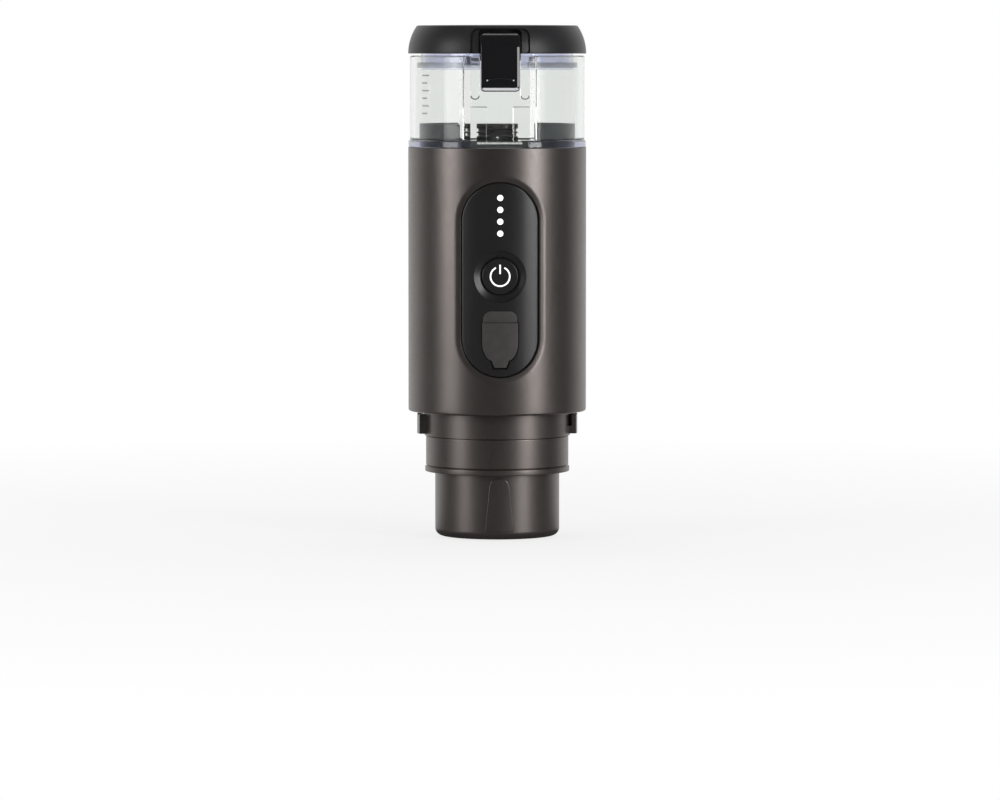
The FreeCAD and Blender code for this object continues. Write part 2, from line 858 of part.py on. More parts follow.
def body_shell():
    wall = tube(body_radius, shell_inner, z_shell, z_foot)
    lip = tube(shell_inner + wall_overlap, collar_radius + slide_gap, z_shell, z_chassis)
    shell = joined([wall, lip])
    outer_edge = [e for e in shell.Edges if abs(e.BoundBox.ZMax - z_shell) < 0.01
                  and e.BoundBox.XMax > body_radius - 0.1]
    shell = shell.makeFillet(shell_edge_round, outer_edge)
    y_front = -body_radius - 1
    recess = slot_plate(panel_half + panel_rim, panel_z0 - panel_rim, panel_z1 + panel_rim, y_front, 0)
    recess = recess.cut(rod(body_radius - rim_depth, z_shell, z_foot))
    window = slot_plate(panel_half + slide_gap, panel_z0 - slide_gap, panel_z1 + slide_gap, y_front, 0)
    return shell.cut([recess, window])


def flap_outline(grow, y0, y1, z_top_edge):
    # Flap seen from the front: straight sides, drawn in to a narrow pull at the bottom
    half = flap_width / 2 + grow
    pull = pull_width / 2 + grow
    z_pull = flap_z0 + pull_height - grow
    z_side = flap_z0 + flap_shoulder
    z_low = flap_z0 - grow
    mid_x = pull + (half - pull) * flap_bow_out
    mid_z = z_pull + (z_side - z_pull) * flap_bow_up
    right = Part.Arc(V(half, y0, z_side), V(mid_x, y0, mid_z), V(pull, y0, z_pull)).toShape()
    left = Part.Arc(V(-pull, y0, z_pull), V(-mid_x, y0, mid_z), V(-half, y0, z_side)).toShape()
    bottom = [V(pull, y0, z_pull), V(pull, y0, z_low + pull_chamfer), V(pull - pull_chamfer, y0, z_low),
              V(-pull + pull_chamfer, y0, z_low), V(-pull, y0, z_low + pull_chamfer), V(-pull, y0, z_pull)]
    top = [V(-half, y0, z_side), V(-half, y0, z_top_edge), V(half, y0, z_top_edge), V(half, y0, z_side)]
    edges = [right]
    edges += [Part.makeLine(a, b) for a, b in zip(bottom, bottom[1:])]
    edges.append(left)
    edges += [Part.makeLine(a, b) for a, b in zip(top, top[1:])]
    return Part.Face(Part.Wire(edges)).extrude(V(0, y1 - y0, 0))


def flap_tab_outline(grow, y0, y1):
    # Band above the flap with two round upper corners
    half = flap_width / 2 + grow
    tab = block(-half, half, y0, y1, flap_z1, flap_z1 + flap_tab_height + grow)
    corners = [e for e in tab.Edges if abs(e.tangentAt(e.FirstParameter).y) > 0.9
               and e.BoundBox.ZMin > flap_z1 + flap_tab_height / 2]
    return tab.makeFillet(flap_tab_corner, corners)


def light_z(i):
    return panel_z1 - (light_end_share + i) * light_pitch


def board_bosses():
    # Places of the four screws that hold the board, as (x, z)
    return [(side * board_boss_x, z) for side in (-1, 1)
            for z in (board_z0 + board_boss_inset, board_z1 - board_boss_inset)]


def control_panel():
    front = slot_plate(panel_half, panel_z0, panel_z1, -body_radius, 0)
    plate = tube(panel_radius, panel_back, panel_z0, panel_z1).common(front)
    flange = slot_plate(panel_half + panel_flange, panel_z0 - panel_flange, panel_z1 + panel_flange,
                        -body_radius, 0)
    flange = tube(shell_inner - slide_gap, panel_back, panel_z0 - 5, panel_z1 + 5).common(flange)
    port_half = port_well_radius + port_boss_wall
    port_boss = block(-port_half, port_half, -panel_back - boss_root, jack_front_y,
                      jack_z - port_half, jack_z + port_half)
    button_boss = rod_y(button_dish_radius + button_boss_wall, -panel_back - boss_root, boss_y, 0, button_z)
    pieces = [plate, flange, port_boss, button_boss]
    post_y = -math.sqrt(panel_back ** 2 - board_boss_x ** 2) - boss_root
    for x, z in board_bosses():
        pieces.append(rod_y(board_boss_radius, post_y, board_y0, x, z))
    panel = joined(pieces)
    dish_y = button_y + button_dish_slope
    dish = rod_y(button_dish_radius, -body_radius, button_y, 0, button_z)
    slope = Part.makeCone(button_dish_radius, button_radius + slide_gap, button_dish_slope,
                          V(0, button_y, button_z), AXIS_Y)
    tools = [dish, slope, rod_y(button_radius + slide_gap, dish_y - 0.1, 0, 0, button_z)]
    tools.append(flap_outline(slide_gap, -body_radius, pocket_y, flap_z1 + 0.1))
    tools.append(flap_tab_outline(0, -body_radius, pocket_y))
    notch_half = pull_width / 2 + pull_notch
    z_pull = flap_z0 + pull_height + boss_root
    tools.append(rounded_plate(-notch_half, notch_half, flap_z0 - pull_notch, z_pull, -body_radius,
                               pocket_y - boss_root, pull_corner))
    tools.append(rod_y(port_well_radius, pocket_y - 0.1, jack_front_y + 0.1, 0, jack_z))
    for i in range(light_count):
        tools.append(rod_y(light_radius, -body_radius, 0, 0, light_z(i)))
    for x, z in board_bosses():
        tools.append(rod_y(screw_radius, board_y0 - board_screw_depth - slide_gap, board_y0 + 0.1, x, z))
    return panel.cut(tools)


def light_lenses():
    lenses = []
    for i in range(light_count):
        lenses.append(rod_y(light_radius, -panel_radius - light_proud, board_y0 - led_thickness - slide_gap,
                            0, light_z(i)))
    return Part.makeCompound(lenses)


def status_lights():
    half = led_size / 2
    lights = []
    for i in range(light_count):
        lights.append(block(-half, half, board_y0 - led_thickness, board_y0,
                            light_z(i) - half, light_z(i) + half))
    return Part.makeCompound(lights)


def symbol_shape(y0, y1):
    # Generic power symbol: an open ring with a bar in its gap
    ring = rod_y(symbol_radius, y0, y1, 0, button_z)
    ring = ring.cut(rod_y(symbol_radius - symbol_line, y0, y1, 0, button_z))
    rise = symbol_radius + 2
    spread = math.tan(math.radians(symbol_gap_angle / 2)) * rise
    gap = plate_xz([(0, button_z), (spread, button_z + rise), (-spread, button_z + rise)], y0, y1)
    bar_top = button_z + symbol_bar_rise
    bar = block(-symbol_line / 2, symbol_line / 2, y0, y1, bar_top - symbol_bar_length, bar_top)
    return Part.makeCompound([ring.cut(gap), bar])


def power_button():
    skirt_y = boss_y + button_rest_gap
    face = rod_y(button_radius, button_y, button_y + button_thickness, 0, button_z)
    rim = [e for e in face.Edges if e.BoundBox.YMax < button_y + 0.01]
    face = face.makeFillet(button_edge_round, rim)
    skirt = rod_y(button_radius, button_y + button_thickness, skirt_y, 0, button_z)
    skirt = skirt.cut(rod_y(button_radius - button_wall, button_y, skirt_y, 0, button_z))
    flange = rod_y(button_radius + button_flange, skirt_y, skirt_y + button_flange_thickness, 0, button_z)
    flange = flange.cut(rod_y(button_radius - button_wall, skirt_y - 1, skirt_y + 2, 0, button_z))
    cap = joined([face, skirt, flange])
    return cap.cut(symbol_shape(button_y - 1, button_y + symbol_depth))


def power_symbol():
    return symbol_shape(button_y - symbol_proud, button_y + symbol_depth)


switch_y = board_y0 - switch_thickness


def power_switch():
    half = switch_size / 2
    body = block(-half, half, switch_y, board_y0, button_z - half, button_z + half)
    bore = rod_y(switch_plunger_radius + run_gap, switch_y - 1, board_y0 - switch_floor, 0, button_z)
    return body.cut(bore)


def switch_plunger():
    end_y = board_y0 - switch_floor - end_play - button_travel
    return rod_y(switch_plunger_radius, button_y + button_thickness, end_y, 0, button_z)


def port_flap():
    # Flap with the thin round bead that it bends about
    flap = flap_outline(0, -body_radius, flap_back_y, flap_z1 - flap_groove)
    bead_half = flap_width / 2 - flap_corner
    bead = rod_x(flap_bead_radius, -bead_half, bead_half, flap_bead_y, flap_z1 - flap_bead_drop)
    return joined([flap, bead]).common(rod(panel_radius + flap_proud, flap_z0 - 1, flap_z1))


def port_flap_tab():
    tab = flap_tab_outline(-slide_gap / 4, -body_radius, pocket_y)
    return tab.common(rod(panel_radius + flap_proud, flap_z1 - 1, flap_z1 + flap_tab_height + 1))


def charging_jack():
    body = block(-jack_width / 2, jack_width / 2, jack_front_y, jack_front_y + jack_depth,
                 jack_z - jack_height / 2, jack_z + jack_height / 2)
    body = body.cut(rod_y(jack_bore_radius, jack_front_y - 1, jack_front_y + jack_bore_depth, 0, jack_z))
    pin = rod_y(jack_pin_radius, jack_front_y + jack_pin_inset, jack_front_y + jack_bore_depth, 0, jack_z)
    return Part.makeCompound([body, pin])


def main_board():
    board = block(-board_width / 2, board_width / 2, board_y0, board_y1, board_z0, board_z1)
    hole = block(-jack_width / 2 - slide_gap, jack_width / 2 + slide_gap, board_y0 - 1, board_y1 + 1,
                 jack_z - jack_height / 2 - slide_gap, jack_z + jack_height / 2 + slide_gap)
    tools = [hole] + [rod_y(screw_radius, board_y0 - 1, board_y1 + 1, x, z) for x, z in board_bosses()]
    return board.cut(tools)


def panel_screws():
    screws = []
    for x, z in board_bosses():
        shank = rod_y(screw_radius, board_y0 - board_screw_depth, board_y1, x, z)
        head = rod_y(screw_head_radius, board_y1, board_y1 + screw_head_height, x, z)
        screws.append(joined([shank, head]))
    return Part.makeCompound(screws)


# Battery, trays, motor and pump

z_cell = z_tray + tray_floor
z_cell_top = z_cell + cell_length
z_low_tray = z_cell + tray_lip
z_high_tray = z_cell_top - tray_lip
z_tray_top = z_cell_top + tray_floor
tray_post_x = tray_radius - tray_post_inset
base_post_radius = tray_radius - base_post_inset
cell_places = [(cell_circle * math.cos(math.radians(a)), cell_circle * math.sin(math.radians(a)))
               for a in cell_angles]
armature_radius = motor_radius - motor_wall - magnet_thickness - motor_air_gap
z_cover = z_low_tray
z_gears = z_cover + pump_cover_thickness
z_chamber_top = z_gears + gear_height + end_play
z_motor = z_chamber_top + pump_top_thickness
z_motor_cap = z_motor + motor_length
z_passage = z_gears + gear_height - passage_drop


def battery_cells():
    cells = []
    for x, y in cell_places:
        can = rod(cell_radius, z_cell + slide_gap, z_cell_top - cell_button_height, x, y)
        button = rod(cell_button_radius, z_cell_top - cell_button_height, z_cell_top, x, y)
        cells.append(joined([can, button]))
    return Part.makeCompound(cells)


def lower_tray():
    tray = rod(tray_radius, z_tray, z_low_tray)
    posts = [rod(tray_post_radius, z_low_tray, z_high_tray, side * tray_post_x, tray_post_y)
             for side in (-1, 1)]
    tray = joined([tray] + posts)
    tools = [rod(cell_radius + slide_gap, z_cell + slide_gap, z_low_tray + 1, x, y) for x, y in cell_places]
    tools.append(rod(nipple_radius + tube_wall + face_gap, z_tray - 1, z_low_tray + 1, -nipple_x, nipple_y))
    for side in (-1, 1):
        tools.append(rod(screw_radius, z_high_tray - screw_length, z_high_tray + 1,
                         side * tray_post_x, tray_post_y))
    return tray.cut(tools)


def upper_tray():
    tray = rod(tray_radius, z_high_tray, z_tray_top)
    stand = rod(tray_post_radius, z_tray_top, z_foot - skirt_depth, base_post_radius, 0)
    posts = []
    for angle in base_post_angles:
        post = stand.copy()
        post.rotate(V(0, 0, 0), AXIS_Z, angle)
        posts.append(post)
    tray = joined([tray] + posts)
    tools = [rod(cell_radius + slide_gap, z_high_tray - 1, z_cell_top, x, y) for x, y in cell_places]
    tools.append(block(-body_radius, body_radius, -body_radius, board_y1 + tray_board_clear,
                       z_high_tray - 1, z_tray_top + 1))
    hole = nipple_radius + tube_wall + face_gap
    tools.append(rod(hole, z_high_tray - 1, z_tray_top + 1, nipple_x, nipple_y))
    for side in (-1, 1):
        tools.append(rod(screw_radius, z_high_tray - 1, z_tray_top + 1, side * tray_post_x, tray_post_y))
    return tray.cut(tools)


def tray_screws():
    return Part.makeCompound([screw(side * tray_post_x, tray_post_y, z_tray_top, False) for side in (-1, 1)])


def motor_can():
    can = rod(motor_radius, z_motor, z_motor_cap, 0, motor_y)
    hollow = rod(motor_radius - motor_wall, z_motor + bearing_height, z_motor_cap + 1, 0, motor_y)
    return can.cut([hollow, rod(bearing_radius, z_motor - 1, z_motor + 5, 0, motor_y)])


def motor_end_cap():
    cap = rod(motor_radius, z_motor_cap, z_motor_cap + motor_cap_height, 0, motor_y)
    cap = cap.cut(rod(bearing_radius, z_motor_cap - 1, z_motor_cap + bearing_height, 0, motor_y))
    return cap.cut(rod(shaft_radius + slide_gap, z_motor_cap, z_motor_cap + motor_cap_height + 1, 0, motor_y))


def motor_magnets():
    z0 = z_motor + (motor_length + bearing_height - magnet_length) / 2
    outer = motor_radius - motor_wall
    ring = tube(outer, outer - magnet_thickness, z0, z0 + magnet_length, 0, motor_y)
    halves = []
    for side in (-1, 1):
        part = block(min(0, side * outer), max(0, side * outer), motor_y - magnet_half_span,
                     motor_y + magnet_half_span, z0, z0 + magnet_length)
        halves.append(ring.common(part))
    return Part.makeCompound(halves)


def motor_bearings():
    bearings = [tube(bearing_radius, shaft_radius + run_gap, z, z + bearing_height, 0, motor_y)
                for z in (z_motor, z_motor_cap)]
    return Part.makeCompound(bearings)


z_core = z_motor + (motor_length + bearing_height - armature_length) / 2


def armature_core():
    core = rod(armature_radius, z_core, z_core + armature_length, 0, motor_y)
    hub = rod(shaft_radius, z_core - 1, z_core + armature_length + 1, 0, motor_y)
    slot = block(armature_hub_radius, armature_radius + 1, -armature_slot / 2, armature_slot / 2,
                 z_core, z_core + armature_length)
    tools = [hub]
    for copy in around(slot, armature_poles):
        copy.translate(V(0, motor_y, 0))
        tools.append(copy)
    return core.cut(tools)


def armature_windings():
    pieces = []
    for z in (z_core - winding_overhang, z_core + armature_length):
        pieces.append(tube(armature_radius - winding_inset, shaft_radius + winding_hub_wall,
                           z, z + winding_overhang, 0, motor_y))
    bar = block(armature_hub_radius + winding_clear, armature_radius - winding_bar_inset,
                -armature_slot / 2 + winding_clear, armature_slot / 2 - winding_clear,
                z_core, z_core + armature_length)
    for copy in around(bar, armature_poles):
        copy.translate(V(0, motor_y, 0))
        pieces.append(copy)
    return joined(pieces)


def motor_shaft():
    return rod(shaft_radius, z_gears - stub_depth, z_motor_cap + motor_cap_height - shaft_end_gap, 0, motor_y)


def involute_gear(x, y, phase, bore):
    # Spur gear with involute flanks; phase is the angle of one tooth's middle in degrees
    base = gear_pitch_radius * math.cos(math.radians(gear_pressure_angle))
    root = gear_pitch_radius - gear_dedendum * gear_module
    alpha = math.radians(gear_pressure_angle)
    half_tooth = math.pi / (2 * gear_teeth) - gear_backlash / (2 * gear_pitch_radius)
    half_tooth += math.tan(alpha) - alpha
    radii = [base + (gear_outer - base) * i / 5 for i in range(6)]
    flank = []
    for r in radii:
        t = math.acos(min(1.0, base / r))
        flank.append((r, half_tooth - (math.tan(t) - t)))
    points = []
    for tooth in range(gear_teeth):
        middle = math.radians(phase + tooth * 360.0 / gear_teeth)
        side = [(root, -half_tooth)] + [(r, -a) for r, a in flank]
        side += [(r, a) for r, a in reversed(flank)] + [(root, half_tooth)]
        for r, a in side:
            points.append(V(x + r * math.cos(middle + a), y + r * math.sin(middle + a),
                            z_gears + gear_face_gap))
    outline = Part.makePolygon(points + [points[0]])
    gear = Part.Face(outline).extrude(V(0, 0, gear_height - gear_face_gap))
    if bore > 0:
        gear = gear.cut(rod(bore, z_gears - 1, z_gears + gear_height + 1, x, y))
    return gear


def drive_gear():
    return involute_gear(0, motor_y, 90.0, shaft_radius)


def driven_gear():
    gear = involute_gear(0, idler_y, 270.0 + 180.0 / gear_teeth, 0)
    stub = rod(idler_radius, z_gears - stub_depth, z_chamber_top + stub_depth, 0, idler_y)
    return joined([gear, stub])


def pump_housing():
    pieces = [rod(pump_radius, z_gears, z_motor, 0, motor_y), rod(pump_radius, z_gears, z_motor, 0, idler_y)]
    side_x = pump_radius + pump_side
    pieces.append(block(-side_x, side_x, motor_y, idler_y, z_gears, z_motor))
    pieces.append(rod(motor_radius, z_motor - pump_shoulder, z_motor, 0, motor_y))
    reach = nipple_radius + tube_wall
    for side in (-1, 1):
        x0, x1 = sorted((side * pump_radius, side * (nipple_x + reach)))
        pieces.append(block(x0, x1, nipple_y - passage_half_width, nipple_y + passage_half_width,
                            z_passage - passage_half_height, z_passage + passage_half_height))
    z_up = z_passage + passage_half_height + nipple_length
    z_down = z_passage - passage_half_height - nipple_length
    pieces.append(rod(nipple_radius, z_passage, z_up, nipple_x, nipple_y))
    pieces.append(rod(nipple_radius, z_down, z_passage, -nipple_x, nipple_y))
    housing = joined(pieces)
    tools = [rod(chamber_radius, z_gears - 1, z_chamber_top, 0, y) for y in (motor_y, idler_y)]
    tools.append(rod(shaft_radius + run_gap, z_gears, z_motor + 1, 0, motor_y))
    tools.append(rod(idler_radius + run_gap, z_gears, z_chamber_top + stub_depth + end_play, 0, idler_y))
    tools.append(rod(bearing_radius, z_motor - seal_lip_height, z_motor + 1, 0, motor_y))
    tools.append(rod_x(nipple_bore, passage_start, nipple_x, nipple_y, z_passage))
    tools.append(rod_x(nipple_bore, -nipple_x, -passage_start, nipple_y, z_passage))
    tools.append(rod(nipple_bore, z_passage, z_up + 1, nipple_x, nipple_y))
    tools.append(rod(nipple_bore, z_down - 1, z_passage, -nipple_x, nipple_y))
    for x, y in pump_screw_places():
        tools.append(rod(screw_radius, z_gears - 1, z_cover + screw_head_height + pump_screw_length, x, y))
    return housing.cut(tools)


def pump_screw_places():
    return [(side * (chamber_radius + pump_screw_inset), (motor_y + idler_y) / 2) for side in (-1, 1)]


def pump_cover():
    pieces = [rod(pump_radius, z_cover, z_gears, 0, motor_y), rod(pump_radius, z_cover, z_gears, 0, idler_y)]
    side_x = pump_radius + pump_side
    z_pocket = z_gears - stub_depth - end_play
    pieces.append(block(-side_x, side_x, motor_y, idler_y, z_cover, z_gears))
    tools = [rod(shaft_radius + run_gap, z_pocket, z_gears + 1, 0, motor_y)]
    tools.append(rod(idler_radius + run_gap, z_pocket, z_gears + 1, 0, idler_y))
    for x, y in pump_screw_places():
        tools.append(rod(screw_radius, z_cover - 1, z_gears + 1, x, y))
        tools.append(rod(screw_head_radius, z_cover - 1, z_cover + screw_head_height, x, y))
    return joined(pieces).cut(tools)


def pump_screws():
    return Part.makeCompound([screw(x, y, z_cover + screw_head_height, True, pump_screw_length)
                              for x, y in pump_screw_places()])


def shaft_seal():
    return tube(bearing_radius, shaft_radius + run_gap, z_motor - seal_lip_height, z_motor, 0, motor_y)


def inlet_tube():
    # From the tank outlet in the middle, across above the motor and down to the pump
    r = tube_bend
    run = math.hypot(nipple_x, nipple_y)
    ux, uy = nipple_x / run, nipple_y / run
    z_start = z_foot - skirt_depth - tube_end_gap
    z_run = z_start - nipple_length - passage_half_height - r
    k = r * (1 - math.cos(math.radians(45)))
    s = r * math.sin(math.radians(45))
    z_end = z_passage + passage_half_height + tube_end_gap

    def at(d, z):
        return V(ux * d, uy * d, z)
    edges = [Part.makeLine(at(0, z_start), at(0, z_run + r))]
    edges.append(Part.Arc(at(0, z_run + r), at(k, z_run + r - s), at(r, z_run)).toShape())
    edges.append(Part.makeLine(at(r, z_run), at(run - r, z_run)))
    edges.append(Part.Arc(at(run - r, z_run), at(run - k, z_run - r + s), at(run, z_run - r)).toShape())
    edges.append(Part.makeLine(at(run, z_run - r), at(run, z_end)))
    path = Part.Wire(edges)
    outer = Part.Wire(Part.makeCircle(nipple_radius + tube_wall, at(0, z_start), AXIS_Z))
    inner = Part.Wire(Part.makeCircle(nipple_radius, at(0, z_start), AXIS_Z))
    solid = path.makePipeShell([outer], True, False)
    return solid.cut(path.makePipeShell([inner], True, False))


def outlet_tube():
    z_high = z_passage - passage_half_height - tube_end_gap
    return tube(nipple_radius + tube_wall, nipple_radius, z_tray + tube_end_gap, z_high, -nipple_x, nipple_y)


# Chassis and brewing end

z_brew = z_shell - brew_plate_thickness
z_gasket = z_brew - gasket_height
z_basket = z_gasket - face_gap
z_flange = z_basket - basket_flange_thickness
z_ledge = z_flange - head_ledge_thickness
z_basket_floor = z_basket - basket_depth
z_neck = z_collar + neck_height
z_shoulder = z_head + shroud_insert
z_tooth = z_neck - thread_end_drop - thread_tooth_height / 2 - thread_lead * thread_tooth_angle / 360


def thread_grooves():
    # Each groove follows the path of one tooth down to the open end of the collar
    height = thread_tooth_height + 2 * thread_clear
    reach = (z_tooth - z_collar + height) * 360 / thread_lead
    outer = neck_radius + thread_tooth_depth + thread_clear
    start_z = z_tooth - thread_lead * reach / 360
    span = reach + thread_tooth_angle + thread_end_clear
    return [helix_bar(collar_bore - 1.0, outer, height, start * 360.0 / thread_starts - reach, span,
                      start_z, thread_lead) for start in range(thread_starts)]


def thread_teeth():
    outer = neck_radius + thread_tooth_depth
    return [helix_bar(neck_radius - thread_root, outer, thread_tooth_height, start * 360.0 / thread_starts,
                      thread_tooth_angle, z_tooth, thread_lead) for start in range(thread_starts)]


def lug(side):
    # Bayonet wing of the collar, joined to it at one end and along its lower part
    z0 = z_collar + lug_rise
    z1 = z0 + lug_height
    wing = tube(lug_radius, lug_radius - lug_wall, z0, z1)
    web = tube(lug_radius - lug_overlap, collar_radius - lug_overlap, z0, z0 + lug_height * lug_web_share)
    end = tube(lug_radius - lug_overlap, collar_radius - lug_overlap, z0, z1)
    half = lug_radius * math.sin(math.radians(lug_angle / 2))
    wide = block(0, lug_radius, -half, half, z0, z1)
    narrow = block(0, lug_radius, 0, half, z0, z1)
    piece = joined([wing.common(wide), web.common(wide), end.common(narrow)])
    if side < 0:
        piece.rotate(V(0, 0, 0), AXIS_Z, 180)
    return piece


def chassis():
    collar = tube(collar_radius, collar_bore, z_collar, z_shell)
    hub = rod(collar_radius, z_shell, z_chassis)
    disc = rod(tray_radius, z_chassis, z_tray)
    nipple = rod(nipple_radius, z_tray, z_tray + nipple_length + 2, -nipple_x, nipple_y)
    body = joined([collar, hub, disc, nipple, lug(1), lug(-1)])
    tools = thread_grooves()
    tools.append(rod(nipple_bore, z_shell - 1, z_tray + nipple_length + 3, -nipple_x, nipple_y))
    for x, y in brew_screw_places():
        tools.append(rod(screw_radius, z_shell - 1, z_tray + 1, x, y))
        tools.append(rod(screw_head_radius + slide_gap, z_tray - screw_head_height - face_gap, z_tray + 1,
                         x, y))
    return body.cut(tools)


def brew_screw_places():
    return [(brew_screw_circle * math.cos(math.radians(a)), brew_screw_circle * math.sin(math.radians(a)))
            for a in brew_screw_angles]


def needle_places():
    return [(needle_circle * math.cos(2 * math.pi * i / needle_count + math.pi / 2),
             needle_circle * math.sin(2 * math.pi * i / needle_count + math.pi / 2))
            for i in range(needle_count)]


def key_slot(side, grow):
    # Key of the basket, or its slot where it grows
    half = basket_key_width / 2 + grow
    z1 = z_basket + basket_key_height + grow
    reach = side * body_radius
    ring_part = tube(basket_flange_radius + grow, basket_flange_radius - basket_key_wall - grow,
                     z_flange + basket_key_root, z1)
    return ring_part.common(block(min(0, reach), max(0, reach), -half, half, z_flange, z1))


def brew_plate():
    plate = rod(brew_plate_radius, z_brew, z_shell)
    tools = [rod(plenum_radius, z_shell - plenum_depth, z_shell + 1)]
    tools.append(block(-nipple_x - feed_half_width, 0, nipple_y - feed_half_width, nipple_y + feed_half_width,
                       z_shell - feed_depth, z_shell + 1))
    tools += [rod(needle_radius, z_brew - 1, z_shell, x, y) for x, y in needle_places()]
    tools += [rod(screw_radius, z_brew + brew_screw_floor, z_shell + 1, x, y) for x, y in brew_screw_places()]
    tools += [key_slot(side, face_gap) for side in (-1, 1)]
    return plate.cut(tools)


def piercing_needles():
    needles = []
    z_tip = z_brew - needle_length
    for x, y in needle_places():
        z_point = z_tip + needle_tip_length
        shank = rod(needle_radius, z_point, z_shell - plenum_depth, x, y)
        tip = cone(needle_tip_radius, needle_radius, z_tip, z_point, x, y)
        bore = rod(needle_bore, z_point - needle_hole_rise, z_shell, x, y)
        reach = needle_radius + 1
        side = rod_y(needle_side_hole, y - reach, y + reach, x, z_point + needle_hole_rise)
        needles.append(joined([shank, tip]).cut([bore, side]))
    return Part.makeCompound(needles)


def brew_plate_screws():
    z = z_tray - screw_head_height - face_gap
    return Part.makeCompound([screw(x, y, z, False) for x, y in brew_screw_places()])


def brew_gasket():
    return turned([(gasket_inner, z_gasket), (gasket_outer, z_gasket), (gasket_outer, z_brew),
                   (gasket_inner, z_brew), (gasket_inner + gasket_hollow, (z_gasket + z_brew) / 2)])


def capsule_basket():
    z_low = z_basket_floor - basket_wall
    top_out = basket_top_radius + basket_wall
    floor_out = basket_floor_radius + basket_wall
    bowl = turned([(0, z_low), (floor_out, z_low), (top_out, z_flange), (basket_flange_radius, z_flange),
                   (basket_flange_radius, z_basket), (basket_seat_radius, z_basket),
                   (basket_seat_radius, z_basket - basket_seat_depth),
                   (basket_top_radius, z_basket - basket_seat_depth),
                   (basket_floor_radius, z_basket_floor), (0, z_basket_floor)])
    basket = joined([bowl, key_slot(-1, 0), key_slot(1, 0)])
    holes = [rod(basket_hole_radius, z_low - 1, z_basket_floor + 1)]
    for margin, count in zip(basket_hole_margins, basket_hole_counts):
        hole = rod(basket_hole_radius, z_low - 1, z_basket_floor + 1, basket_floor_radius - margin, 0)
        holes += around(hole, count)
    return basket.cut(holes)


def sieve_plate():
    z0, z1 = z_basket_floor, z_basket_floor + sieve_thickness
    plate = rod(basket_floor_radius - sieve_clear, z0, z1)
    pips = []
    holes = []
    for margin, count in zip(sieve_margins, sieve_counts):
        radius = basket_floor_radius - margin
        pips += around(cone(sieve_pip_radius, sieve_pip_tip, z1, z1 + sieve_pip_height, radius, 0), count)
        holes += around(rod(sieve_hole_radius, z0 - 1, z1 + 1, radius, 0), count, 180.0 / count)
    return joined([plate] + pips).cut(holes)


def brew_head():
    top = z_collar - slide_gap
    lip = head_radius + head_lip_proud
    insert = shroud_radius + run_gap
    ring = turned([(insert, z_head), (lip, z_head), (lip, z_head + head_lip_height),
                   (head_radius - head_groove, z_head + head_lip_height + head_groove_low),
                   (head_radius, z_head + head_lip_height + head_groove_high), (head_radius, top),
                   (neck_radius, top),
                   (neck_radius, z_neck), (neck_inner, z_neck), (neck_inner, z_flange),
                   (basket_top_radius + basket_wall + ledge_clear, z_flange),
                   (basket_top_radius + basket_wall + ledge_clear, z_ledge), (shroud_inner, z_ledge),
                   (shroud_inner, z_shoulder), (insert, z_shoulder)])
    return joined([ring] + thread_teeth())


def lower_shroud():
    wall = rod(shroud_radius, 0, z_shoulder)
    edge = [e for e in wall.Edges if e.BoundBox.ZMax < 0.01]
    wall = wall.makeFillet(shroud_edge_round, edge)
    wall = wall.cut(rod(shroud_inner, shroud_wall, z_shoulder + 1))
    side = rib_height - rib_top_half
    foot = shroud_edge_round
    arch = plate_xz([(-rib_foot_half, foot), (rib_foot_half, foot), (rib_top_half, side),
                     (-rib_top_half, side)], -body_radius, -shroud_inner)
    top = rod_y(rib_top_half, -body_radius, -shroud_inner, 0, side)
    rib = joined([arch, top]).common(tube(shroud_radius + rib_proud, shroud_radius - rib_root, 0, z_head))
    shroud = joined([wall, rib])
    return shroud.cut(rod(outlet_radius + spout_wall + slide_gap, -1, shroud_wall + 1))


def outlet_spout():
    wide = spout_rim_radius
    outer = outlet_radius + spout_wall
    return turned([(outlet_radius, face_gap), (outer, face_gap), (outer, shroud_wall),
                   (outer + spout_flange, shroud_wall), (wide + spout_wall, spout_height),
                   (wide, spout_height), (outlet_radius, shroud_wall + spout_floor)])


PIECES = [body_shell, control_panel, light_lenses, status_lights, power_button, power_symbol, power_switch,
          switch_plunger, port_flap, port_flap_tab, charging_jack, main_board, panel_screws,
          water_tank, tank_marks, heater_base, tank_seal, heater_plate, heating_element, strainer,
          thermal_cutout, temperature_sensor, lid_shell, lid_plug, lid_gasket, lid_hinge_pin, latch_pin,
          latch_plate, latch_spring, battery_cells, lower_tray, upper_tray, tray_screws, motor_can,
          motor_end_cap, motor_magnets, motor_bearings, armature_core, armature_windings, motor_shaft,
          drive_gear, driven_gear, pump_housing, pump_cover, pump_screws, shaft_seal, inlet_tube,
          outlet_tube, chassis, brew_plate, piercing_needles, brew_plate_screws, brew_gasket,
          capsule_basket, sieve_plate, brew_head, lower_shroud, outlet_spout]

os.makedirs("parts", exist_ok=True)
for make in PIECES:
    shape = make()
    state = "" if shape.isValid() else "NOT VALID"
    print(make.__name__, len(shape.Solids), round(shape.Volume, 1), state)
    shape.exportStep(os.path.join("parts", make.__name__ + ".step"))
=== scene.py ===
import math

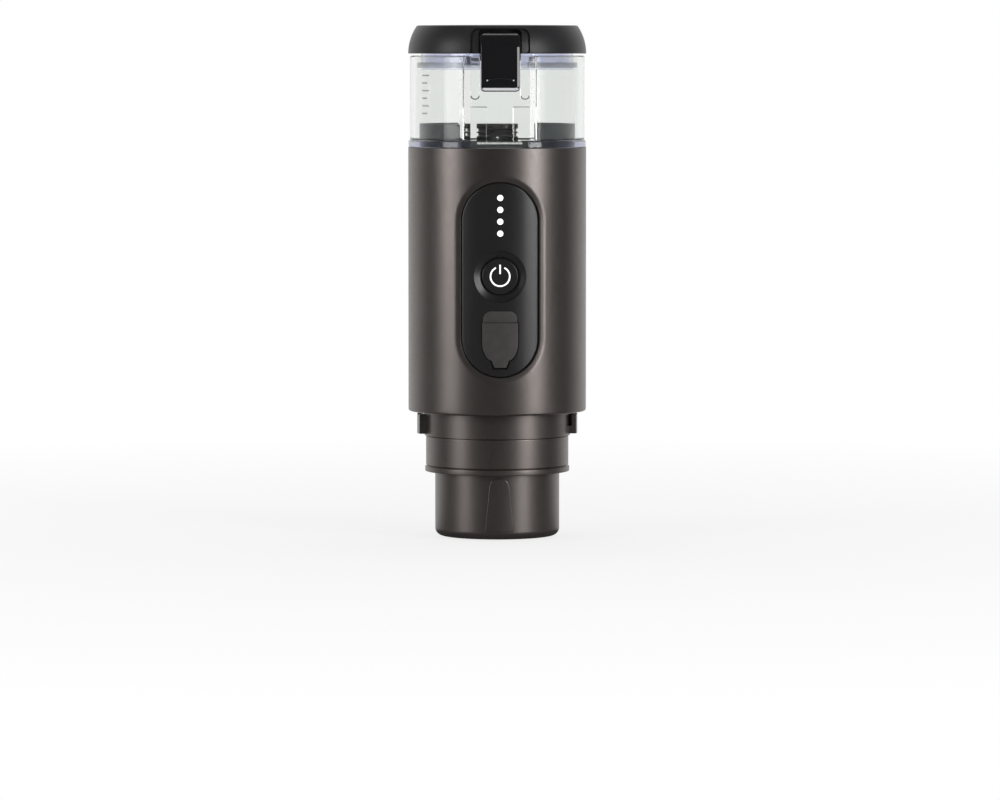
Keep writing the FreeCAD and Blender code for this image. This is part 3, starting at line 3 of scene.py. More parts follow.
import bpy
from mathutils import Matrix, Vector


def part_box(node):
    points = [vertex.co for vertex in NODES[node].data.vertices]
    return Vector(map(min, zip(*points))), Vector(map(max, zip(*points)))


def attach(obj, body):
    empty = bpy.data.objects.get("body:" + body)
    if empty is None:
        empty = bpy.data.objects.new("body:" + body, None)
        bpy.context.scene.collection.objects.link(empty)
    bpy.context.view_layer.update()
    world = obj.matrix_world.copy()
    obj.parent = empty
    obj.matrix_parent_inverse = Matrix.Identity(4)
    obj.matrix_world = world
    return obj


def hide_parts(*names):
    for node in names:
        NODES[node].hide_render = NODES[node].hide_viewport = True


bl_info = {
    "name": "Portable espresso maker",
    "version": (1, 0, 0),
    "blender": (4, 5, 0),
    "location": "View3D > Sidebar > Espresso",
    "description": "Dresses the packed espresso maker: shells, panel, latch, clear tank and finishes",
    "category": "Object",
}

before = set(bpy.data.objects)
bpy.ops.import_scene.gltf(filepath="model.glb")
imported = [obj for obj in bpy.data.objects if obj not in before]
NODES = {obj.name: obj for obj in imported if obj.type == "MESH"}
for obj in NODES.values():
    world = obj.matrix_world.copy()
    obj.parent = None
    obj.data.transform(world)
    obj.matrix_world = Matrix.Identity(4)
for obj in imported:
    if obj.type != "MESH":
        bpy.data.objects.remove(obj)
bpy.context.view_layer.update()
MM = 0.001
X, Y, Z = 0, 1, 2
QUARTER = math.pi / 2
# Points closer than these, in metres, are taken as one or as level
SAME = 1e-6
NEAR = 1e-5


def node_low(name):
    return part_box(name)[0]


def node_high(name):
    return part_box(name)[1]


def node_middle(name, axis):
    return (node_low(name)[axis] + node_high(name)[axis]) / 2


# Sizes and colours that a user would change

def length(name, description, default):
    return bpy.props.FloatProperty(name=name, description=description, default=default, min=0.0,
                                   subtype="DISTANCE", unit="LENGTH", precision=5)


def colour(name, description, default):
    return bpy.props.FloatVectorProperty(name=name, description=description, default=default,
                                         size=3, min=0.0, max=1.0, subtype="COLOR")


class EspressoSizes(bpy.types.PropertyGroup):
    body_radius: length("Body radius", "Outer radius of the body shell", node_high("body_shell").x)
    shell_wall: length("Shell wall", "Wall thickness of the body shell", 2.5 * MM)
    panel_half: length("Panel half width", "Half the width of the control panel", 15.0 * MM)
    panel_sink: length("Panel sink", "How far the panel lies under the body surface", 0.8 * MM)
    rim_width: length("Rim width", "Width of the sloping rim round the panel", 2.8 * MM)
    dish_radius: length("Dish radius", "Radius of the dish round the power button", 10.15 * MM)
    button_radius: length("Button radius", "Radius of the power button's face", 7.1 * MM)
    tank_height: length("Tank height", "Height of the tank above its floor", 33.1 * MM)
    tank_wall: length("Tank wall", "Wall thickness of the tank", 2.5 * MM)
    channel_half: length("Channel half width", "Half the width of the channel behind the latch", 11.5 * MM)


class EspressoColours(bpy.types.PropertyGroup):
    body: colour("Body", "Satin coat of the body shell and the brewing end", (0.158, 0.141, 0.134))
    panel: colour("Panel", "Control panel and power button", (0.017, 0.016, 0.016))
    flap: colour("Port flap", "Soft flap over the charging socket", (0.050, 0.046, 0.045))
    lid: colour("Lid", "Domed lid", (0.021, 0.020, 0.022))
    latch: colour("Latch", "Polished latch plate", (0.010, 0.010, 0.011))
    # Pale grey painted highlight on the latch's black bevelled edge, standing in for its reflection; also
    # the own colour of the thumb dots
    highlight_and_dot_grey: colour("Latch edge", "Pale grey painted highlight on the latch's bevelled edge, also the thumb dots' colour", (0.86, 0.86, 0.90))
    tank: colour("Tank", "Tint of the clear water tank", (0.865, 0.880, 0.868))
    plug: colour("Lid cup", "Tint of the clear cup under the lid", (0.74, 0.75, 0.86))
    glow: colour("Lights", "Lit symbol and charge lights", (1.0, 1.0, 1.0))
    black: colour("Black plastic", "Inner black mouldings", (0.018, 0.018, 0.019))


def chosen(context):
    return context.scene.espresso_sizes, context.scene.espresso_colours


# Node materials

class Nodes:
    # Short way to add nodes and feed them. A value is a number, a colour or the pair (node, its output)
    def __init__(self, owner, out):
        owner.use_nodes = True
        self.tree = owner.node_tree
        self.tree.nodes.clear()
        self.out = self.add(out)
        self.place = self.add("ShaderNodeTexCoord")

    def add(self, kind, inputs=(), **settings):
        node = self.tree.nodes.new(kind)
        for key, value in settings.items():
            setattr(node, key, value)
        for socket, value in dict(inputs).items():
            self.feed(node, socket, value)
        return node

    def feed(self, node, socket, value):
        if isinstance(value, tuple) and isinstance(value[0], bpy.types.Node):
            self.tree.links.new(value[0].outputs[value[1]], node.inputs[socket])
        else:
            node.inputs[socket].default_value = value

    def mapped(self, scale=(1, 1, 1), rotation=(0, 0, 0)):
        return self.add("ShaderNodeMapping", {"Vector": (self.place, "Object"), "Scale": scale,
                                              "Rotation": rotation}), "Vector"

    def noise(self, scale, detail, rough=0.5, stretch=(1, 1, 1)):
        return self.add("ShaderNodeTexNoise", {"Vector": self.mapped(stretch), "Scale": scale,
                                               "Detail": detail, "Roughness": rough}), "Fac"

    def wave(self, pitch, distortion, inputs=(), **settings):
        # Even rings or bands, pitch millimetres apart
        return self.add("ShaderNodeTexWave", {"Vector": self.mapped(), "Scale": 1.0 / (pitch * MM * 3.2),
                                              "Distortion": distortion, **dict(inputs)}, **settings), "Fac"

    def ranged(self, value, low, high, from_low=0.3, from_high=0.7, **settings):
        return self.add("ShaderNodeMapRange", {"Value": value, "From Min": from_low, "From Max": from_high,
                                               "To Min": low, "To Max": high}, **settings), "Result"

    def mixed(self, factor, a, b, kind="RGBA"):
        return self.add("ShaderNodeMix", {"Factor": factor, "A": a, "B": b}, data_type=kind), "Result"

    def maths(self, operation, a, b, **settings):
        return self.add("ShaderNodeMath", {0: a, 1: b}, operation=operation, **settings), "Value"

    def along(self, vector, axis):
        return self.add("ShaderNodeSeparateXYZ", {"Vector": vector}), axis

    def rays(self):
        # Tells what looks at the surface: the camera, a reflection or a ray through a clear piece
        path = self.add("ShaderNodeLightPath")
        return [(path, "Is %s Ray" % kind) for kind in ("Camera", "Glossy", "Transmission")]

    def front_to_back(self, side):
        # Level of the room in a reflection: dim in front, white behind
        return self.ranged(side, 0.05, 1.0, 0.1, 0.75, interpolation_type="SMOOTHSTEP")


class Finish(Nodes):
    # A new material and its one shader
    def __init__(self, name):
        self.material = bpy.data.materials.new(name)
        super().__init__(self.material, "ShaderNodeOutputMaterial")
        self.shader = self.add("ShaderNodeBsdfPrincipled")
        self.feed(self.out, "Surface", (self.shader, "BSDF"))

    def bump(self, height, strength, depth, under=None):
        # Depth in millimetres; under is a coarser bump that this one lies on
        inputs = {"Height": height, "Strength": strength, "Distance": depth * MM}
        if under is not None:
            inputs["Normal"] = under
        return self.add("ShaderNodeBump", inputs), "Normal"

    def made(self, **values):
        for key, value in values.items():
            self.feed(self.shader, key.replace("_", " "), value)
        return self.material


def shade(tone, factor=1.0):
    return (*[min(1.0, part * factor) for part in tone[:3]], 1.0)


def moulded(name, tone, roughness, spread, grain=2600, depth=0.03, clouds=60, **values):
    # Moulded or coated surface: soft clouding of the colour, uneven gloss and a fine grain
    n = Finish(name)
    cloud = n.ranged(n.noise(clouds, 3), 0, 1)
    coarse = n.bump(n.noise(grain * 0.35, 2), 0.25, depth)
    return n.made(Base_Color=n.mixed(cloud, shade(tone, 1 - spread), shade(tone, 1 + spread)),
                  Roughness=n.ranged(n.noise(clouds * 9, 2), roughness - 0.02, roughness + 0.02),
                  Normal=n.bump(n.noise(grain, 3), 0.5, depth, coarse), **values)


def brushed(name, tone, roughness, stretch, grain=900, depth=0.004):
    # Drawn or turned metal: fine lines along the direction that the stretch leaves short
    n = Finish(name)
    lines = n.noise(grain, 4, 0.6, stretch)
    smudge = n.bump(n.noise(90, 2), 0.1, 0.05)
    return n.made(Base_Color=n.mixed(n.ranged(lines, 0, 1), shade(tone, 0.86), shade(tone, 1.08)),
                  Roughness=n.ranged(lines, roughness - 0.07, roughness + 0.07),
                  Normal=n.bump(lines, 0.4, depth, smudge), Metallic=1.0)


def ringed(name, tone, roughness, pitch, depth=0.004):
    # Faced metal: fine rings about the main axis
    n = Finish(name)
    grain = {"Detail": 2.0, "Detail Scale": 3.0}
    rings = n.wave(pitch, 0.6, grain, wave_type="RINGS", rings_direction="Z")
    return n.made(Base_Color=n.mixed(rings, shade(tone, 0.9), shade(tone, 1.05)),
                  Roughness=n.ranged(n.noise(400, 3), roughness - 0.06, roughness + 0.06),
                  Normal=n.bump(rings, 0.3, depth), Metallic=1.0)


def coiled_wire(name, tone, pitch, direction="Z"):
    # Enamelled wire laid in turns
    n = Finish(name)
    turns = n.wave(pitch, 0.4, wave_type="BANDS", bands_direction=direction)
    return n.made(Base_Color=n.mixed(turns, shade(tone, 0.55), shade(tone)),
                  Roughness=n.ranged(n.noise(600, 2), 0.28, 0.4),
                  Normal=n.bump(turns, 0.8, 0.12), Metallic=0.85)


def clear_plastic(name, tone, roughness, waves, **values):
    # Clear moulded plastic: slow flow waves, hairline scuffs and a few dull specks
    n = Finish(name)
    flow = n.noise(waves, 2, 0.4, (1, 1, 0.35))
    scuff = n.noise(700, 3, 0.6, (1, 1, 0.08))
    return n.made(Base_Color=n.mixed(n.ranged(flow, 0, 1), shade(tone, 0.985), shade(tone)),
                  Roughness=n.ranged(scuff, roughness, roughness + 0.05, 0.55, 0.75),
                  Normal=n.bump(flow, 0.12, 0.15), Transmission_Weight=1.0, **values)


def rubbery(name, tone, roughness):
    # Soft moulding: dusty sheen, faint mottling and a fine matt grain
    n = Finish(name)
    dust = n.ranged(n.noise(320, 4, 0.6), 0, 1, 0.45, 0.75)
    return n.made(Base_Color=n.mixed(dust, shade(tone), shade(tone, 1.25)),
                  Roughness=n.ranged(n.noise(150, 2), roughness - 0.05, roughness + 0.05),
                  Normal=n.bump(n.noise(3200, 3), 0.4, 0.03))


def glowing(name, tone, strength):
    # Lit diffuser with a faint speckle
    n = Finish(name)
    speck = n.ranged(n.noise(2400, 2), 0.97, 1.0)
    return n.made(Base_Color=shade(tone, 0.8), Emission_Color=shade(tone), Roughness=0.3,
                  Emission_Strength=n.maths("MULTIPLY", speck, strength))


def two_zone(name, axis, low, high, inside, outside, rough, metal):
    # One piece with two finishes, the inside one between two places along an axis.
    # The pairs rough and metal hold the value outside and the value inside
    n = Finish(name)
    place = n.along((n.place, "Object"), axis)
    within = n.maths("MULTIPLY", n.maths("GREATER_THAN", place, low), n.maths("LESS_THAN", place, high))
    grain = n.ranged(n.noise(500, 3), 0, 1)
    inner = n.mixed(grain, shade(inside, 0.9), shade(inside, 1.1))
    outer = n.mixed(grain, shade(outside, 0.9), shade(outside, 1.05))
    return n.made(Base_Color=n.mixed(within, outer, inner), Roughness=n.ranged(within, *rough, 0, 1),
                  Metallic=n.ranged(within, *metal, 0, 1), Normal=n.bump(n.noise(900, 3), 0.25, 0.03))


def solder_mask(name):
    # Green solder mask with the copper runs just showing through it
    n = Finish(name)
    runs = n.add("ShaderNodeTexBrick", {"Vector": n.mapped(rotation=(QUARTER, 0, 0)), "Scale": 420,
                                        "Mortar Size": 0.03, "Mortar": (0.030, 0.140, 0.060, 1),
                                        "Color1": (0.008, 0.075, 0.030, 1),
                                        "Color2": (0.010, 0.090, 0.036, 1)})
    return n.made(Base_Color=(runs, "Color"), Roughness=n.ranged(n.noise(500, 2), 0.22, 0.34),
                  Normal=n.bump((runs, "Fac"), 0.3, 0.02))


def shared(name, kind, *values, **more):
    # A finish that several steps use is made once
    return bpy.data.materials.get(name) or kind(name, *values, **more)


def satin_coat(colours):
    return shared("satin_coat", moulded, colours.body, 0.37, 0.04, 3000, 0.006, Metallic=0.92)


def panel_black(colours):
    return shared("panel_black", moulded, colours.panel, 0.32, 0.06, depth=0.004, Specular_IOR_Level=0.45)


# Pale grey painted highlight for the latch's bevelled edge, and the thumb dots' own finish
def painted_highlight_and_dots(colours):
    return shared("latch_rim", moulded, colours.highlight_and_dot_grey, 0.35, 0.03, 3000, 0.004, Metallic=0.15)


def screw_steel():
    return shared("screw_steel", brushed, (0.56, 0.56, 0.57), 0.28, (1, 1, 8))


def silicone():
    return shared("silicone", rubbery, (0.42, 0.41, 0.39), 0.45)


# Modelling helpers

def object_mode():
    bpy.ops.object.mode_set(mode="OBJECT")


def start_fresh():
    if bpy.context.object is not None and bpy.context.object.mode != "OBJECT":
        object_mode()
    bpy.ops.object.select_all(action="DESELECT")


def only(obj):
    start_fresh()
    obj.select_set(True)
    bpy.context.view_layer.objects.active = obj


def opened(obj):
    # Starts edit mode with the whole mesh selected
    only(obj)
    bpy.ops.object.mode_set(mode="EDIT")
    bpy.ops.mesh.select_all(action="SELECT")


def call_it(name):
    obj = bpy.context.object
    obj.name = name
    obj.data.name = name
    return obj


def settled(obj, **values):
    # Sets the place, turn or size of an object and puts them into its mesh
    for key, value in values.items():
        setattr(obj, key, value)
    only(obj)
    bpy.ops.object.transform_apply(location=True, rotation=True, scale=True)
    return obj


def rod(name, radius, start, end, sides, z=None):
    # Upright rod from height start to end, or at height z a level one from front to back
    middle = (start + end) / 2
    start_fresh()
    bpy.ops.mesh.primitive_cylinder_add(vertices=sides, radius=radius, depth=end - start,
                                        location=(0, 0, middle) if z is None else (0, middle, z),
                                        rotation=(0 if z is None else QUARTER, 0, 0))
    return settled(call_it(name))


def box_piece(name, low, high):
    start_fresh()
    bpy.ops.mesh.primitive_cube_add(size=1, location=[(a + b) / 2 for a, b in zip(low, high)])
    return settled(call_it(name), scale=[b - a for a, b in zip(low, high)])


def plain_sheet(name, width, height, x, z):
    # Flat rectangle in the XZ plane at y = 0, facing the front
    start_fresh()
    bpy.ops.mesh.primitive_plane_add(size=1, location=(x, 0, z), rotation=(QUARTER, 0, 0))
    return settled(call_it(name), scale=(width, height, 1))


def front_sheet(name, half, low, high, corner, segments):
    # Flat sheet with rounded corners
    obj = plain_sheet(name, 2 * half, high - low, 0, (low + high) / 2)
    opened(obj)
    bpy.ops.mesh.bevel(offset=corner, segments=segments, affect="VERTICES", clamp_overlap=True)
    bpy.ops.mesh.remove_doubles(threshold=SAME)
    object_mode()
    return obj


def pull(*way):
    bpy.ops.mesh.extrude_region_move(TRANSFORM_OT_translate={"value": way})


def resize(x, y, spot):
    bpy.ops.transform.resize(value=(x, y, 1), center_override=spot)


def rotate_level(angle, spot):
    # Turns what is selected about a front-to-back line
    bpy.ops.transform.rotate(value=angle, orient_axis="Y", center_override=spot)


def strip_sheet(name, rows):
    # Flat sheet from rows of (height, half width) listed from the top down
    (top, half), (low, next_half) = rows[0], rows[1]
    obj = plain_sheet(name, 2 * half, top - low, 0, (top + low) / 2)
    pick(obj, "EDGE", lambda a, b: level_at(low, a, b))
    resize(next_half / half, 1, (0, 0, low))
    for (z, wide), (z_next, wide_next) in zip(rows[1:], rows[2:]):
        pull(0, 0, z_next - z)
        resize(wide_next / wide, 1, (0, 0, z_next))
    bpy.ops.mesh.select_all(action="SELECT")
    bpy.ops.mesh.dissolve_limited(angle_limit=math.radians(0.5))
    object_mode()
    return obj


def thickened(obj, depth, x=0, front=0):
    # Gives a flat sheet its thickness towards the back, then moves it to its place
    opened(obj)
    pull(0, depth, 0)
    bpy.ops.mesh.select_all(action="SELECT")
    bpy.ops.mesh.normals_make_consistent(inside=False)
    object_mode()
    return settled(obj, location=(x, front, 0))


def pick(obj, kind, fits):
    # Starts edit mode with only the faces (tested by centre) or edges (by their two ends) that fit
    only(obj)
    bpy.ops.object.mode_set(mode="EDIT")
    bpy.ops.mesh.select_mode(type=kind)
    bpy.ops.mesh.select_all(action="DESELECT")
    object_mode()
    parts = obj.data.polygons if kind == "FACE" else obj.data.edges
    for part in parts:
        spots = [part.center] if kind == "FACE" else [obj.data.vertices[i].co for i in part.vertices]
        part.select = bool(fits(*spots))
    if not any(part.select for part in parts):
        raise RuntimeError("no part of " + obj.name + " fits the place asked for")
    bpy.ops.object.mode_set(mode="EDIT")


def level_at(z, a, b):
    return abs(a.z - z) < SAME and abs(b.z - z) < SAME


def front_rim(a, b):
    return abs(a.y) < SAME and abs(b.y) < SAME


def bevel_where(obj, fits, width, segments):
    pick(obj, "EDGE", fits)
    bpy.ops.mesh.bevel(offset=width, segments=segments, affect="EDGES", clamp_overlap=False)
    object_mode()


def sliced(obj, axis, low, high, step):
    # Cuts the mesh by flat planes across an axis, so that it can follow a curve later
    opened(obj)
    count = max(2, int(round((high - low) / step)))
    normal = Vector((0, 0, 0))
    normal[axis] = 1.0
    for i in range(1, count):
        bpy.ops.mesh.select_all(action="SELECT")
        bpy.ops.mesh.bisect(plane_co=normal * (low + (high - low) * i / count), plane_no=normal)
    object_mode()


def on_front(obj, radius):
    # Lays a flat piece, drawn at y = 0, on the front of a round body of this radius
    for point in obj.data.vertices:
        point.co.y -= math.sqrt(radius ** 2 - min(point.co.x ** 2, radius ** 2))
    obj.data.update()


def bent_leaf(sheet, depth, edge, segments, half, step, radius):
    # Gives a flat sheet its thickness and a rounded front rim, then bends it round the front
    thickened(sheet, depth)
    bevel_where(sheet, front_rim, edge, segments)
    sliced(sheet, X, -half, half, step)
    on_front(sheet, radius)
    return sheet


def add_modifier(obj, kind, **values):
    only(obj)
    modifier = obj.modifiers.new("step", kind)
    for key, value in values.items():
        setattr(modifier, key, value)
    bpy.ops.object.modifier_apply(modifier=modifier.name)


def cut(obj, *tools, operation="DIFFERENCE"):
    for tool in tools:
        add_modifier(obj, "BOOLEAN", operation=operation, object=tool, solver="EXACT")
        bpy.data.objects.remove(tool)
    return obj


def rounded_edges(obj, width, segments, angle):
    add_modifier(obj, "BEVEL", width=width, segments=segments, limit_method="ANGLE",
                 angle_limit=math.radians(angle), harden_normals=False, miter_outer="MITER_ARC")


def face_outwards(obj):
    opened(obj)
    bpy.ops.mesh.remove_doubles(threshold=SAME)
    bpy.ops.mesh.normals_make_consistent(inside=False)
    object_mode()


def joined(pieces, name):
    start_fresh()
    for piece in pieces:
        piece.select_set(True)
    bpy.context.view_layer.objects.active = pieces[0]
    bpy.ops.object.join()
    return call_it(name)


def finished(obj, body, finish, replaces=(), angle=30):
    # Last steps of every new piece: shading, finish and body, and the imported nodes it replaces are
    # hidden
    only(obj)
    bpy.ops.object.shade_smooth_by_angle(angle=math.radians(angle))
    add_modifier(obj, "WEIGHTED_NORMAL", keep_sharp=True, weight=50)
    obj.data.materials.clear()
    obj.data.materials.append(finish)
    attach(obj, body)
    if replaces:
        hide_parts(*replaces)


def dress(finish, *names):
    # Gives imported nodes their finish
    for name in names:
        node = NODES[name]
        if not node.material_slots:
            node.data.materials.append(finish)
        for place in node.material_slots:
            place.material = finish


def turned(name, rows, sides, ring=False):
    # Turned piece from rows of (height, radius); a ring comes back to its first row, others are capped
    start_fresh()
    (z, radius) = rows[0]
    bpy.ops.mesh.primitive_circle_add(vertices=sides, radius=radius, location=(0, 0, z),
                                      fill_type="NOTHING" if ring else "NGON")
    obj = settled(call_it(name))
    opened(obj)
    for (z, radius), (z_next, radius_next) in zip(rows, rows[1:] + rows[:1] if ring else rows[1:]):
        pull(0, 0, z_next - z)
        resize(radius_next / radius, radius_next / radius, (0, 0, z_next))
    bpy.ops.mesh.select_all(action="SELECT")
    bpy.ops.mesh.remove_doubles(threshold=SAME)
    bpy.ops.mesh.normals_make_consistent(inside=False)
    object_mode()
    return obj


def turned_to_front(name, rows, z, sides, ring=False):
    # Piece turned about a front-to-back line at height z, from rows of (y, radius)
    obj = turned(name, [(-y, radius) for y, radius in rows], sides, ring)
    return settled(obj, rotation_euler=(QUARTER, 0, 0), location=(0, 0, z))


def turned_across(name, rows, y, z, ring=False):
    # Piece turned about a left-to-right line, from rows of (x, radius)
    return settled(turned(name, rows, 48, ring), rotation_euler=(0, QUARTER, 0), location=(0, y, z))


def rod_across(name, radius, low, high, y, z):
    return turned_across(name, [(low, radius), (high, radius)], y, z)


def round_rows(z, radius, turn, start, end, steps):
    # Quarter or other arc of a turned outline: centre (height, radius), its size and its two angles
    angles = [math.radians(start + (end - start) * i / steps) for i in range(steps + 1)]
    return [(z + turn * math.sin(a), radius + turn * math.cos(a)) for a in angles]


def quarter_turn(steps):
    return [QUARTER * i / steps for i in range(steps + 1)]


def in_metres(pairs):
    return [(a * MM, b * MM) for a, b in pairs]


def strip_path(name, points, half_width):
    # Flat narrow strip in the XZ plane at y = 0 along a path of (x, z) points
    (x, z), (x_next, z_next) = points[0], points[1]
    sliver = half_width * 0.02
    obj = plain_sheet(name, 2 * half_width, sliver, x, z)
    turn = math.atan2(z_next - z, x_next - x)
    opened(obj)
    rotate_level(turn - QUARTER, (x, 0, z))
    object_mode()
    start, ahead = Vector((x, 0, z)), Vector((math.cos(turn), 0, math.sin(turn)))
    pick(obj, "EDGE", lambda a, b: ((a + b) / 2 - start).dot(ahead) > sliver / 4)
    for (x, z), (x_next, z_next), after in zip(points, points[1:], points[2:] + [None]):
        pull(x_next - x, 0, z_next - z)
        if after:
            bend = math.atan2(after[1] - z_next, after[0] - x_next)
            rotate_level(bend - turn, (x_next, 0, z_next))
            turn = bend
    object_mode()
    return obj


# Stage

class ESPRESSO_OT_stage(bpy.types.Operator):
    """Builds the pale floor, the soft studio light and the camera"""
    bl_idname = "espresso.stage"
    bl_label = "Stage"

    def execute(self, context):
        scene = context.scene
        scene.view_settings.view_transform = "Standard"
        scene.world = bpy.data.worlds.new("studio")
        room = Nodes(scene.world, "ShaderNodeOutputWorld")
        camera, gloss, through = room.rays()
        # White all round for the camera and through clear pieces; in gloss, white behind and dim in front
        behind = room.front_to_back(room.along((room.place, "Generated"), "Y"))
        soft = room.mixed(gloss, 0.30, behind, "FLOAT")
        level = room.mixed(room.maths("MAXIMUM", camera, through), soft, 1.0, "FLOAT")
        light = room.add("ShaderNodeBackground", {"Color": (1.0, 1.0, 1.0, 1.0), "Strength": level})
        room.feed(room.out, "Surface", (light, "Background"))

        start_fresh()
        bpy.ops.mesh.primitive_plane_add(size=60, location=(0, 0, -0.0004))
        floor = settled(call_it("floor"))
        floor.data.materials.append(self.pale_floor())

        lamps = (("left_bank", (-1.14, -0.54, 0.36), (0.50, 0.72), 5.4),
                 ("right_bank", (0.92, -0.86, 0.36), (0.42, 0.72), 7.6),
                 ("top_bank", (0.0, 0.25, 1.35), (0.9, 0.6), 4.0))
        for name, spot, size, power in lamps:
            start_fresh()
            bpy.ops.object.light_add(type="AREA", location=spot)
            lamp = context.object
            lamp.name = name
            lamp.data.shape = "RECTANGLE"
            lamp.data.size, lamp.data.size_y = size
            lamp.data.energy = power
            self.aim(lamp, Vector((0, 0, 0.1)) - Vector(spot))

        distance, turn, height = 2.1, math.radians(-2.0), 0.190
        spot = Vector((math.sin(turn) * distance, -math.cos(turn) * distance, height))
        start_fresh()
        bpy.ops.object.camera_add(location=spot)
        camera = context.object
        camera.name = "photo_camera"
        camera.data.sensor_width = 36.0
        camera.data.lens = 192.0
        self.aim(camera, Vector((0.0011, 0.0, 0.0533)) - spot)
        scene.camera = camera
        return {"FINISHED"}

    def aim(self, obj, way):
        obj.rotation_euler = way.to_track_quat("-Z", "Y").to_euler()

    def pale_floor(self):
        # The floor turns to the plain level of the room away from the object, so that no horizon shows
        n = Finish("pale_floor")
        speckle = n.ranged(n.noise(900, 3), 0, 1)
        pale = n.mixed(speckle, (0.86, 0.86, 0.86, 1.0), (0.9, 0.9, 0.9, 1.0))
        n.made(Base_Color=pale, Roughness=0.9)
        place = (n.place, "Object")
        away = n.add("ShaderNodeVectorMath", {0: place}, operation="LENGTH"), "Value"
        side = n.add("ShaderNodeVectorMath", {0: place}, operation="NORMALIZE"), "Vector"
        camera, gloss, through = n.rays()
        mirror = n.maths("SUBTRACT", gloss, through, use_clamp=True)
        level = n.mixed(mirror, 1.0, n.front_to_back(n.along(side, "Y")), "FLOAT")
        white = n.add("ShaderNodeEmission", {"Strength": level}), "Emission"
        seen = n.maths("MAXIMUM", n.maths("MAXIMUM", camera, through), gloss)
        share = n.maths("MULTIPLY", seen, n.ranged(away, 0.80, 1.0, 0.08, 0.55))
        blend = n.add("ShaderNodeMixShader", {0: share, 1: (n.shader, "BSDF"), 2: white})
        n.feed(n.out, "Surface", (blend, "Shader"))
        return n.material


# Body shell, control panel, button, lights and port flap

def panel_ends():
    # Heights of the panel's two ends
    return node_low("port_flap").z - 3.6 * MM, node_high("light_lenses").z + 4.9 * MM


def light_heights():
    low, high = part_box("light_lenses")
    radius = (high.x - low.x) / 2
    pitch = (high.z - low.z - 2 * radius) / 3
    return [low.z + radius + 0.3 * MM + i * pitch for i in range(4)]


def flap_shape(name, grow):
    # Outline of the port flap seen from the front, made larger all round by the given amount
    low = node_low("port_flap").z
    side_z, pull_z = low + 9.2 * MM, low + 2.8 * MM
    half, narrow = node_high("port_flap").x + grow, 3.3 * MM + grow
    rows = [(low + 17.6 * MM, half), (side_z, half)]
    rows += [(side_z + (pull_z - grow - side_z) * math.sin(a) ** 1.25,
              narrow + (half - narrow) * math.cos(a)) for a in quarter_turn(10)[1:]]
    rows += [(pull_z - grow - 0.7 * MM, narrow - 0.05 * MM), (low - grow + 0.6 * MM, narrow - 0.7 * MM),
             (low - grow, narrow - 1.1 * MM)]
    return strip_sheet(name, rows)


def band_shape(name, grow):
    # Band above the flap, its two upper corners rounded
    low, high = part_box("port_flap_tab")
    top, half, corner = high.z + grow, high.x - 0.25 * MM + grow, 3.0 * MM
    rows = [(top - corner * (1 - math.cos(a)), half - corner * (1 - math.sin(a))) for a in quarter_turn(8)]
    return strip_sheet(name, rows + [(low.z, half)])


class ESPRESSO_OT_body(bpy.types.Operator):
    """Models the body shell with the soft sloping rim round its panel"""
    bl_idname = "espresso.body"
    bl_label = "Body shell"

    def execute(self, context):
        sizes, colours = chosen(context)
        low, high = node_low("body_shell").z, node_high("body_shell").z
        panel_low, panel_high = panel_ends()
        rim, radius = sizes.rim_width, sizes.body_radius
        half = sizes.panel_half + rim
        patch = 26.0 * MM
        # Opening for the panel, its soft rim pushed back step by step
        opening = front_sheet("body_skin", half, panel_low - rim, panel_high + rim, half, 28)
        pick(opening, "FACE", lambda centre: True)
        rim_steps = ((0.5, 0.03), (0.5, 0.10), (1.1, 0.30), (0.3, 0.12), (0.12, 0.10), (0.08, 0.25))
        for inset, sink in in_metres(rim_steps):
            bpy.ops.mesh.inset(thickness=inset)
            bpy.ops.transform.translate(value=(0, sink, 0))
        pull(0, 2.4 * MM, 0)
        bpy.ops.mesh.delete(type="FACE")
        object_mode()
        # Flat patch of the wall, filled between its border and the outline of the opening
        middle = (low + high) / 2
        skin = joined([opening, plain_sheet("patch", 2 * patch, high - low, 0, middle)], "body_skin")
        pick(skin, "FACE", lambda centre: (centre - Vector((0, 0, middle))).length < NEAR)
        bpy.ops.mesh.delete(type="ONLY_FACE")
        bpy.ops.mesh.select_mode(type="EDGE")
        bpy.ops.mesh.select_all(action="DESELECT")
        bpy.ops.mesh.select_non_manifold(extend=False)
        object_mode()
        for edge in skin.data.edges:
            deepest = max(skin.data.vertices[i].co.y for i in edge.vertices)
            edge.select = edge.select and deepest < SAME
        bpy.ops.object.mode_set(mode="EDIT")
        bpy.ops.mesh.fill(use_beauty=True)
        object_mode()
        # The patch bends round the front, and the rest of the wall is spun from its left border
        sliced(skin, X, -patch, patch, 1.0 * MM)
        sliced(skin, Z, low, high, 13.0 * MM)
        on_front(skin, radius)
        edge_y = -math.sqrt(radius ** 2 - patch ** 2)
        pick(skin, "EDGE", lambda a, b: max(a.x, b.x) < NEAR - patch)
        turn = math.pi + 2 * math.atan2(-edge_y, patch)
        bpy.ops.mesh.spin(steps=132, angle=turn, center=(0, 0, 0), axis=(0, 0, 1))
        object_mode()
        face_outwards(skin)
        # Both ends get the thickness of the wall and a rounded outer edge
        for level, width in ((low, 0.8 * MM), (high, 0.3 * MM)):
            pick(skin, "EDGE", lambda a, b: level_at(level, a, b))
            shrink = 1 - sizes.shell_wall / radius
            bpy.ops.mesh.extrude_edges_move()
            resize(shrink, shrink, (0, 0, level))
            object_mode()
            bevel_where(skin, lambda a, b: level_at(level, a, b)
                        and min(a.xy.length, b.xy.length) > radius - NEAR, width, 4)
        face_outwards(skin)
        finished(skin, "body", satin_coat(colours), ["body_shell"], 40)
        return {"FINISHED"}


